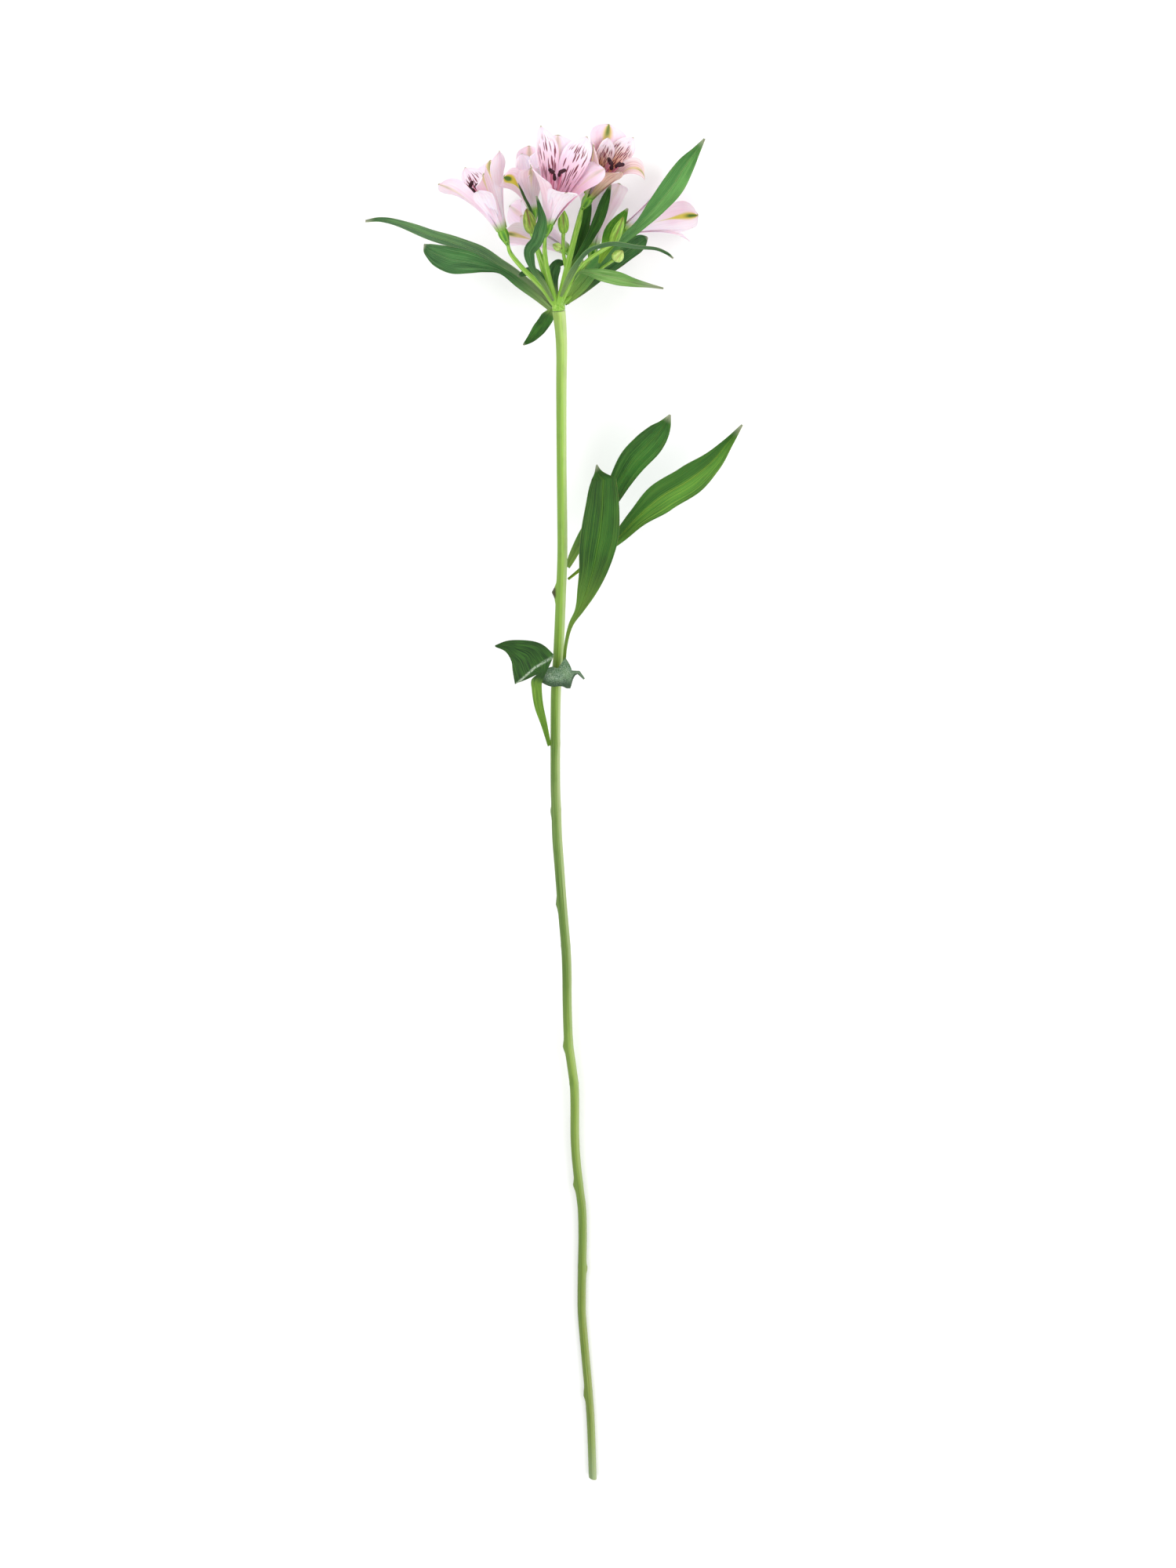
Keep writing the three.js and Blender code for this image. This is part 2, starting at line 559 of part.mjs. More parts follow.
function makePetal(frame, row, length, clawRadius, outline) {
  const [degrees, tip, factor, curl = 0, twist = 0, width = 1] = row;
  const outwards = frame.outwards(degrees);
  const sideways = new Vector3().crossVectors(frame.axis, outwards);
  const face = [];
  const back = [];
  let radius = clawRadius;
  let height = 0.3;
  let s = 0;
  const slices = 40;
  const lean = (at) => radians(
    CLAW_LEAN + (tip - CLAW_LEAN) * at ** PETAL_BEND
    + curl * THREE.MathUtils.smoothstep(at, CURL_FROM, 1),
  );
  for (const at of PETAL_STEPS) {
    while (s < at - 1e-6) {
      radius += Math.sin(lean(s)) * length * factor / slices;
      height += Math.cos(lean(s)) * length * factor / slices;
      s += 1 / slices;
    }
    const angle = lean(at);
    const centre = frame.root.clone().addScaledVector(outwards, radius).addScaledVector(frame.axis, height);
    const outer = outwards.clone().multiplyScalar(Math.cos(angle)).addScaledVector(frame.axis, -Math.sin(angle));
    const tangent = new Vector3().crossVectors(outer, sideways);
    const across = sideways.clone().applyAxisAngle(tangent, radians(twist) * at);
    outer.applyAxisAngle(tangent, radians(twist) * at);
    const half = outlineAt(outline, at) * width * length / OUTER_PETAL_LENGTH;
    const curve = 1.3 * radius + 2;
    const faceRow = [];
    const backRow = [];
    for (let j = 0; j <= PETAL_COLUMNS; j += 1) {
      const turn = (2 * j / PETAL_COLUMNS - 1) * half / curve;
      const spot = centre.clone().addScaledVector(across, curve * Math.sin(turn))
        .addScaledVector(outer, curve * (Math.cos(turn) - 1));
      const normal = outer.clone().multiplyScalar(Math.cos(turn)).addScaledVector(across, Math.sin(turn));
      faceRow.push(spot);
      backRow.push(spot.clone().addScaledVector(normal, -PETAL_THICKNESS));
    }
    face.push(faceRow);
    back.push(backRow);
  }
  layOnSurface(face, back);
  return blade(face, back);
}

// A short round plate across a bloom's axis.
function makeDisc(frame, radius, from, to, sides) {
  const ring = (height) => Array.from({ length: sides }, (_, j) => frame.root.clone()
    .addScaledVector(frame.axis, height)
    .addScaledVector(frame.outwards(360 * j / sides), radius));
  return loft([ring(from), ring(to)]);
}

function makePetals(bloom) {
  const frame = bloomFrame(bloom);
  return joined([
    makeDisc(frame, CUP_RADIUS, 0, CUP_DEPTH, CUP_SIDES),
    ...bloom.outer.map((row) => makePetal(
      frame, row, bloom.size * OUTER_PETAL_LENGTH, OUTER_CLAW_RADIUS, OUTER_OUTLINE,
    )),
    ...bloom.inner.map((row) => makePetal(
      frame, row, bloom.size * INNER_PETAL_LENGTH, INNER_CLAW_RADIUS, INNER_OUTLINE,
    )),
  ]);
}

function makeStamens(bloom) {
  const frame = bloomFrame(bloom);
  const [leaning, hang, part] = bloom.bundle;
  const foot = CUP_DEPTH + GAP;
  const at = (degrees, spread, height, droop) => frame.root.clone()
    .addScaledVector(frame.outwards(degrees), spread)
    .addScaledVector(frame.outwards(leaning), droop)
    .addScaledVector(frame.axis, foot + height);
  const row = (p, radius) => [p.x, p.y, p.z, radius];
  const reachOf = (factor) => bloom.size * FILAMENT_LENGTH * factor * part;
  const pieces = [makeDisc(frame, STAMEN_DISC_RADIUS, foot, foot + 0.8, 6)];
  for (const [degrees, spread, factor] of stamens) {
    const reach = reachOf(factor);
    const path = [
      row(at(degrees, 0.45, 0.2, 0), FILAMENT_RADIUS),
      row(at(degrees, 0.3 + spread * 0.3, reach * 0.35, hang * 0.2), FILAMENT_RADIUS),
      row(at(degrees, spread * 0.75, reach * 0.7, hang * 0.65), FILAMENT_RADIUS),
      row(at(degrees, spread, reach, hang), FILAMENT_RADIUS),
    ];
    pieces.push(loft(tubeRings(path, 2, 3)));
    const [x, y, z] = path.at(-1);
    const tip = new Vector3(x, y, z);
    const lean = frame.outwards(degrees + 40).addScaledVector(frame.axis, 0.8).normalize();
    const anther = [[-0.5, 0.35], [0, 1], [0.5, 0.35]].map(([place, thick]) => row(
      tip.clone().addScaledVector(lean, place * ANTHER_LENGTH), thick * ANTHER_RADIUS,
    ));
    pieces.push(loft(tubeRings(anther, 2, ANTHER_SIDES)));
  }
  const style = [[0, 0.1], [0.2, 0.35], [0.5, 0.65]].map(([droop, height]) => row(
    at(0, 0, height * reachOf(1), droop * hang), FILAMENT_RADIUS,
  ));
  pieces.push(loft(tubeRings(style, 1, 3)));
  return joined(pieces);
}

// A flower's stalk runs into its ovary, which swells up to the root of the petals.
function stalkPath({ root, mouth, stalk }) {
  const axis = point(mouth).sub(point(root)).normalize();
  const ovary = [[1, 0.36], [0.72, 0.62], [0.34, 1], [0, 1]].map(([part, thick]) => {
    const p = point(root).addScaledVector(axis, -part * OVARY_LENGTH - GAP);
    return [p.x, p.y, p.z, thick * OVARY_RADIUS];
  });
  return [...stalk, ...ovary];
}

const hubPath = [[-13.2, 617.8, 38, 2.9], [-13.4, 620.5, 38.3, 3], [-13.4, 623.5, 39, 2.4]];

function umbelPieces(grow) {
  const flowerStalks = Object.values(blooms).map((bloom) => loft(
    tubeRings(stalkPath(bloom), 7, STALK_SIDES, grow),
  ));
  const budStalks = Object.values(buds).map(({ stalk }) => loft(tubeRings(stalk, 4, 5, grow)));
  return [loft(tubeRings(hubPath, 3, 10, grow)), ...flowerStalks, ...budStalks];
}

function makeBud({ stalk, tip, radius }) {
  const root = point(stalk.at(-1));
  root.addScaledVector(point(tip).sub(root).normalize(), GAP);
  const path = BUD_OUTLINE.map(([part, thick]) => {
    const p = root.clone().lerp(point(tip), part);
    return [p.x, p.y, p.z, thick * radius];
  });
  return loft(tubeRings(path, BUD_OUTLINE.length - 1, BUD_SIDES));
}

// ---- The plant -----------------------------------------------------------------------------------

const group = new THREE.Group();

function add(name, made, [colour, roughness]) {
  const material = new THREE.MeshStandardMaterial({ color: colour, roughness, metalness: 0 });
  const mesh = new THREE.Mesh(made, material);
  mesh.name = name;
  group.add(mesh);
}

const stem = makeStem();
add('stem', stem, COLOURS.stem);
add('umbel_stalks', joined(umbelPieces(0)), COLOURS.stalk);
for (const [name, bloom] of Object.entries(blooms)) {
  add(`${name}_petals`, makePetals(bloom), COLOURS.petal);
  add(`${name}_stamens`, makeStamens(bloom), COLOURS.stamen);
}
for (const [name, bud] of Object.entries(buds)) {
  add(name, makeBud(bud), COLOURS.bud);
}
const clearOf = [
  ...umbelPieces(GAP).map(solid),
  solid(loft(tubeRings(stemPath, STEM_RINGS, STEM_SIDES, GAP))),
];
for (const [name, leaf] of Object.entries(leaves)) {
  add(name, cutClear(makeLeaf(leaf), clearOf), COLOURS.leaf);
}

const box = new THREE.Box3().setFromObject(group);
const middle = box.getCenter(new Vector3());
group.position.set(-middle.x, -middle.y, -box.min.z);

export default group;
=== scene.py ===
"""One cut alstroemeria stem lying on a pale surface: +Z up, the blooms towards +Y.

Every piece of the plant is drawn here in millimetres in the plant's own coordinates, with the cut end by
X = 0, Y = 0 and the surface at Z = 0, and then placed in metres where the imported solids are.
"""

import math

import bpy
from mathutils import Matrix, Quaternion, Vector


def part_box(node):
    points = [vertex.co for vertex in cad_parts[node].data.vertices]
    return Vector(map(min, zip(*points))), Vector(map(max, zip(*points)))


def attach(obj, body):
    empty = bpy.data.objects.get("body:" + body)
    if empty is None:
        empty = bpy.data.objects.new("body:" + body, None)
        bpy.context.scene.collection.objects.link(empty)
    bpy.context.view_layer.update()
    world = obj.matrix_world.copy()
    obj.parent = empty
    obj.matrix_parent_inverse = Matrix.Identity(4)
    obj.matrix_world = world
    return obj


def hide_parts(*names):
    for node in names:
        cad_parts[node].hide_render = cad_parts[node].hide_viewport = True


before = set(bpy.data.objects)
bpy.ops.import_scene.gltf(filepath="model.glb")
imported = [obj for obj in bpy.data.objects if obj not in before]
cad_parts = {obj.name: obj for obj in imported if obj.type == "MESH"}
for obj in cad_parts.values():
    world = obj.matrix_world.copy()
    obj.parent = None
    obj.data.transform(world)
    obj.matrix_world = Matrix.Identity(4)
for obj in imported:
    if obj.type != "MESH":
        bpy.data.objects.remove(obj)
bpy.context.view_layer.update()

MM = 0.001
STEM_LOW_CORNER = Vector((-18.0593, -1.2692, 0))
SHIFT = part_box("stem")[0] - MM * STEM_LOW_CORNER
UP = Vector((0, 0, 1))
CREASE_ANGLE = math.radians(60)


# ---- Shader sums ------------------------------------------------------------------------------------

class Tone:
    """A number that comes out of a node. Ordinary sums on it add Math nodes."""

    def __init__(self, finish, socket):
        self.finish = finish
        self.socket = socket

    def math(self, operation, *others):
        values = [self, *others]
        return self.finish.node("Math", {"operation": operation}, dict(enumerate(values)))

    def __add__(self, other):
        return self.math("ADD", other)

    def __sub__(self, other):
        return self.math("SUBTRACT", other)

    def __rsub__(self, other):
        return self.finish.number(other).math("SUBTRACT", self)

    def __mul__(self, other):
        return self.math("MULTIPLY", other)

    def __truediv__(self, other):
        return self.math("DIVIDE", other)

    __radd__ = __add__

    def between(self, low, high):
        """0 at low, 1 at high, and smooth from one to the other."""
        settings = {"interpolation_type": "SMOOTHSTEP"}
        return self.finish.node("MapRange", settings, {0: self, 1: low, 2: high, 3: 0, 4: 1})

    def bump(self, middle, spread):
        """1 at middle, and 0 from spread away on both sides."""
        return 1 - (self - middle).math("ABSOLUTE").between(0, spread)


class Finish:
    """A material made of nodes."""

    def __init__(self, name, glow=0, glow_reach=0.001, **constants):
        self.material = bpy.data.materials.new(name)
        self.material.use_nodes = True
        self.tree = self.material.node_tree
        self.shader = self.tree.nodes["Principled BSDF"]
        if glow:
            constants.update(Subsurface_Weight=glow, Subsurface_Scale=glow_reach)
        for socket, value in constants.items():
            self.shader.inputs[socket.replace("_", " ")].default_value = value

    def node(self, kind, settings=None, sockets=None, output=0):
        made = self.tree.nodes.new("ShaderNode" + kind)
        for setting, value in (settings or {}).items():
            setattr(made, setting, value)
        for socket, value in (sockets or {}).items():
            self.feed(made.inputs[socket], value)
        return Tone(self, made.outputs[output])

    def feed(self, socket, value):
        if isinstance(value, Tone):
            self.tree.links.new(value.socket, socket)
        else:
            socket.default_value = hue(value) if isinstance(value, str) else value

    def number(self, value):
        return self.node("Math", {"operation": "ADD"}, {0: value, 1: 0})

    def mix(self, factor, first, second):
        """The colour second laid over the colour first by factor."""
        return self.node("Mix", {"data_type": "RGBA"}, {0: factor, 6: first, 7: second}, output=2)

    def surface_place(self):
        """How far across (0 to 1) and along (0 to 1) a piece a point of its surface is."""
        spot = self.node("UVMap", {"uv_map": "place"})
        split = self.node("SeparateXYZ", None, {0: spot})
        return split, Tone(self, split.socket.node.outputs[1])

    def marks(self):
        """The four numbers that a face carries."""
        carried = self.node("Attribute", {"attribute_name": "marks"})
        split = self.node("SeparateColor", None, {0: carried})
        outputs = [*split.socket.node.outputs[:3], carried.socket.node.outputs["Alpha"]]
        return tuple(Tone(self, output) for output in outputs)

    def stretched(self, across, along, seed=0.0):
        return self.node("CombineXYZ", None, {0: across, 1: along, 2: seed})

    def noise(self, vector, scale, detail):
        return self.node("TexNoise", {"noise_dimensions": "3D"}, {0: vector, 2: scale, 3: detail})

    def grain(self, across, along, seed=0.0, detail=2.0, scale=1.0):
        return self.noise(self.stretched(across, along, seed), scale, detail)

    def ramp(self, factor, stops):
        made = self.node("ValToRGB", None, {0: factor})
        elements = made.socket.node.color_ramp.elements
        while len(elements) < len(stops):
            elements.new(0.5)
        for element, (position, colour) in zip(elements, stops):
            element.position = position
            element.color = hue(colour)
        return made

    def wear(self, colour=None, roughness=None, relief=None, depth=0.0002):
        """Connects what changes over the surface to the shader."""
        if colour is not None:
            self.feed(self.shader.inputs["Base Color"], colour)
        if roughness is not None:
            self.feed(self.shader.inputs["Roughness"], roughness)
        if relief is not None:
            bumped = self.node("Bump", None, {"Strength": 1.0, "Distance": depth, "Height": relief})
            self.feed(self.shader.inputs["Normal"], bumped)
        return self.material


def hue(code):
    """A colour of six hex digits, as the shader's linear numbers."""
    parts = [int(code[i:i + 2], 16) / 255 for i in (0, 2, 4)]
    linear = [v / 12.92 if v <= 0.04045 else ((v + 0.055) / 1.055) ** 2.4 for v in parts]
    return (*linear, 1.0)


# ---- Curves and meshes ------------------------------------------------------------------------------

def smoothstep(value, low, high):
    t = min(1.0, max(0.0, (value - low) / (high - low)))
    return t * t * (3 - 2 * t)


def hermite(start, end, leaving, arriving, u):
    square = 3 * (end - start) - 2 * leaving - arriving
    cube = 2 * (start - end) + leaving + arriving
    return start + u * (leaving + u * (square + u * cube))


def along(rows, t):
    """The row of numbers at t (0 to 1) along a list of rows, on one smooth curve through them all."""
    last = len(rows) - 1
    i = min(int(t * last), last - 1)
    u = t * last - i
    before = rows[i - 1] if i > 0 else [2 * a - b for a, b in zip(rows[0], rows[1])]
    after = rows[i + 2] if i + 2 <= last else [2 * a - b for a, b in zip(rows[last], rows[last - 1])]
    return [
        hermite(start, end, (end - past) / 2, (coming - start) / 2, u)
        for past, start, end, coming in zip(before, rows[i], rows[i + 1], after)
    ]


def outline_at(outline, s):
    """The value at s in a list of (s, value), on a smooth curve that doesn't overshoot."""
    slopes = []
    for k, (at, value) in enumerate(outline):
        past, past_value = outline[max(0, k - 1)]
        coming, coming_value = outline[min(len(outline) - 1, k + 1)]
        peak = 0 < k < len(outline) - 1 and (coming_value - value) * (value - past_value) <= 0
        slopes.append(0 if peak else (coming_value - past_value) / (coming - past))
    i = next((k for k in range(1, len(outline)) if outline[k][0] >= s), len(outline) - 1)
    (low, start), (high, end) = outline[i - 1], outline[i]
    width = high - low
    return hermite(start, end, slopes[i - 1] * width, slopes[i] * width, (s - low) / width)


def directions(path, t, step=0.004):
    """The forward, sideways and upward directions at t along a path."""
    forward = Vector(along(path, min(1, t + step))[:3]) - Vector(along(path, max(0, t - step))[:3])
    forward.normalize()
    side = forward.cross(UP).normalized()
    return forward, side, side.cross(forward)


class Piece:
    """Collects the faces of one visible piece and makes its mesh."""

    def __init__(self, name):
        self.name = name
        self.points = []
        self.faces = []
        self.places = []
        self.marks = []
        self.slots = []

    def add_face(self, corners, places, slot=0, marks=(0, 0, 0, 1)):
        self.faces.append(corners)
        self.places.extend(places)
        self.slots.append(slot)
        self.marks.append(marks)

    def tube(self, rings, slot=0, cap_slot=None, heights=None):
        """A closed skin round rings of points. heights says how far along each ring is, from 0 to 1."""
        sides = len(rings[0])
        base = len(self.points)
        last = len(rings) - 1
        heights = heights or [i / last for i in range(last + 1)]
        for ring in rings:
            self.points.extend(ring)
        for i in range(last):
            for j in range(sides):
                a = base + i * sides + j
                b = base + i * sides + (j + 1) % sides
                low, high = heights[i], heights[i + 1]
                left, right = j / sides, (j + 1) / sides
                self.add_face(
                    (a, b, b + sides, a + sides),
                    ((left, low), (right, low), (right, high), (left, high)), slot,
                )
        ends = ((rings[0], base, 0.0, True), (rings[-1], base + last * sides, 1.0, False))
        for ring, start, place, foot in ends:
            middle = sum(ring, Vector()) / sides
            centre = len(self.points)
            self.points.append(middle)
            for j in range(sides):
                pair = (start + j, start + (j + 1) % sides)
                pair = pair[::-1] if foot else pair
                use = cap_slot if foot and cap_slot is not None else slot
                self.add_face((centre, *pair), ((0.5, place),) * 3, use)

    def blade(self, face, back, slot, marks):
        """A thin closed sheet. marks has 0 as its first number on the face and 1 on the back."""
        rows, columns = len(face) - 1, len(face[0]) - 1
        base = len(self.points)
        for grid in (face, back):
            for row in grid:
                self.points.extend(row)
        under = (rows + 1) * (columns + 1)
        front_marks, back_marks = (0, *marks[1:]), (1, *marks[1:])

        def at(i, j, side=0):
            return base + side * under + i * (columns + 1) + j

        def place(i, j):
            return (j / columns, i / rows)

        def square(cells, sides, carried):
            corners = tuple(at(i, j, side) for (i, j), side in zip(cells, sides))
            self.add_face(corners, tuple(place(i, j) for i, j in cells), slot, carried)

        for i in range(rows):
            for j in range(columns):
                round_cell = ((i, j), (i, j + 1), (i + 1, j + 1), (i + 1, j))
                square(round_cell, (0,) * 4, front_marks)
                square(round_cell[::-1], (1,) * 4, back_marks)
            square(((i, 0), (i + 1, 0), (i + 1, 0), (i, 0)), (0, 0, 1, 1), front_marks)
            low, high = (i, columns), (i + 1, columns)
            square((low, low, high, high), (0, 1, 1, 0), front_marks)
        for j in range(columns):
            square(((0, j), (0, j), (0, j + 1), (0, j + 1)), (0, 1, 1, 0), front_marks)
            square(((rows, j), (rows, j + 1), (rows, j + 1), (rows, j)), (0, 0, 1, 1), front_marks)

    def finish(self, materials, slot, *nodes):
        mesh = bpy.data.meshes.new(self.name)
        placed = [MM * point + SHIFT for point in self.points]
        mesh.from_pydata(placed, [], self.faces)
        for material in materials:
            mesh.materials.append(material)
        mesh.polygons.foreach_set("material_index", self.slots)
        mesh.polygons.foreach_set("use_smooth", [True] * len(self.faces))
        layer = mesh.uv_layers.new(name="place")
        layer.data.foreach_set("uv", [number for place in self.places for number in place])
        marks = mesh.color_attributes.new("marks", "FLOAT_COLOR", "CORNER")
        carried = []
        for face, mark in zip(self.faces, self.marks):
            carried.extend([*mark] * len(face))
        marks.data.foreach_set("color", carried)
        mesh.set_sharp_from_angle(angle=CREASE_ANGLE)
        made = bpy.data.objects.new(self.name, mesh)
        bpy.context.scene.collection.objects.link(made)
        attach(made, "root")
        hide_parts(*nodes)


# ---- The plant: millimetres and degrees ---------------------------------------------------------------

# x, y, z and radius up the stem
STEM_PATH = (
    (2.5, -0.6, 2, 2.1), (1.5, 31, 2, 2.1), (0.4, 49.7, 2, 2.1), (-1.4, 72.3, 2, 2.15),
    (-3.1, 94.8, 2.2, 2.15), (-3.3, 106.2, 2.3, 2.2), (-3.1, 123.3, 2.6, 2.2), (-2.8, 141.2, 3, 2.2),
    (-3.1, 157, 3.4, 2.2), (-4.3, 168.2, 3.8, 2.2), (-6, 185.2, 4.5, 2.2), (-6.7, 199.4, 5, 2.25),
    (-6.7, 218, 6, 2.25), (-7, 227.7, 6.5, 2.3), (-8.3, 238.8, 7, 2.3), (-9.8, 252.2, 8, 2.3),
    (-10.4, 273, 9.5, 2.3), (-10.5, 290.3, 11, 2.35), (-11, 303.9, 12, 2.35), (-12.7, 326.7, 14, 2.35),
    (-14, 346.9, 16, 2.4), (-15, 362.6, 17.5, 2.45), (-15.3, 375.8, 19, 2.4), (-15.7, 389.6, 20, 2.35),
    (-15.6, 414.6, 22.5, 2.35), (-15.2, 438.4, 25, 2.4), (-13.9, 458, 27, 2.45), (-12.7, 485, 30, 2.4),
    (-11.9, 507.7, 32, 2.35), (-12.1, 544.8, 35, 2.3), (-12.1, 580.9, 37, 2.4), (-11.9, 598.7, 38, 2.5),
    (-12.3, 609.2, 38, 2.7), (-13.1, 617.2, 38, 3),
)

# y, the degrees round the stem from +X, and height
STEM_NUBS = (
    (49.7, 160, 0.9), (123.3, 20, 0.7), (171.5, 170, 0.9), (227.7, 60, 0.4), (249.5, 170, 0.8),
    (303.9, 80, 0.6), (327.5, 175, 0.8), (375.8, 200, 0.6), (410, 85, 0.5), (486.5, 185, 2),
)

HUB_PATH = ((-13.2, 617.8, 38, 2.9), (-13.4, 620.5, 38.3, 3), (-13.4, 623.5, 39, 2.4))

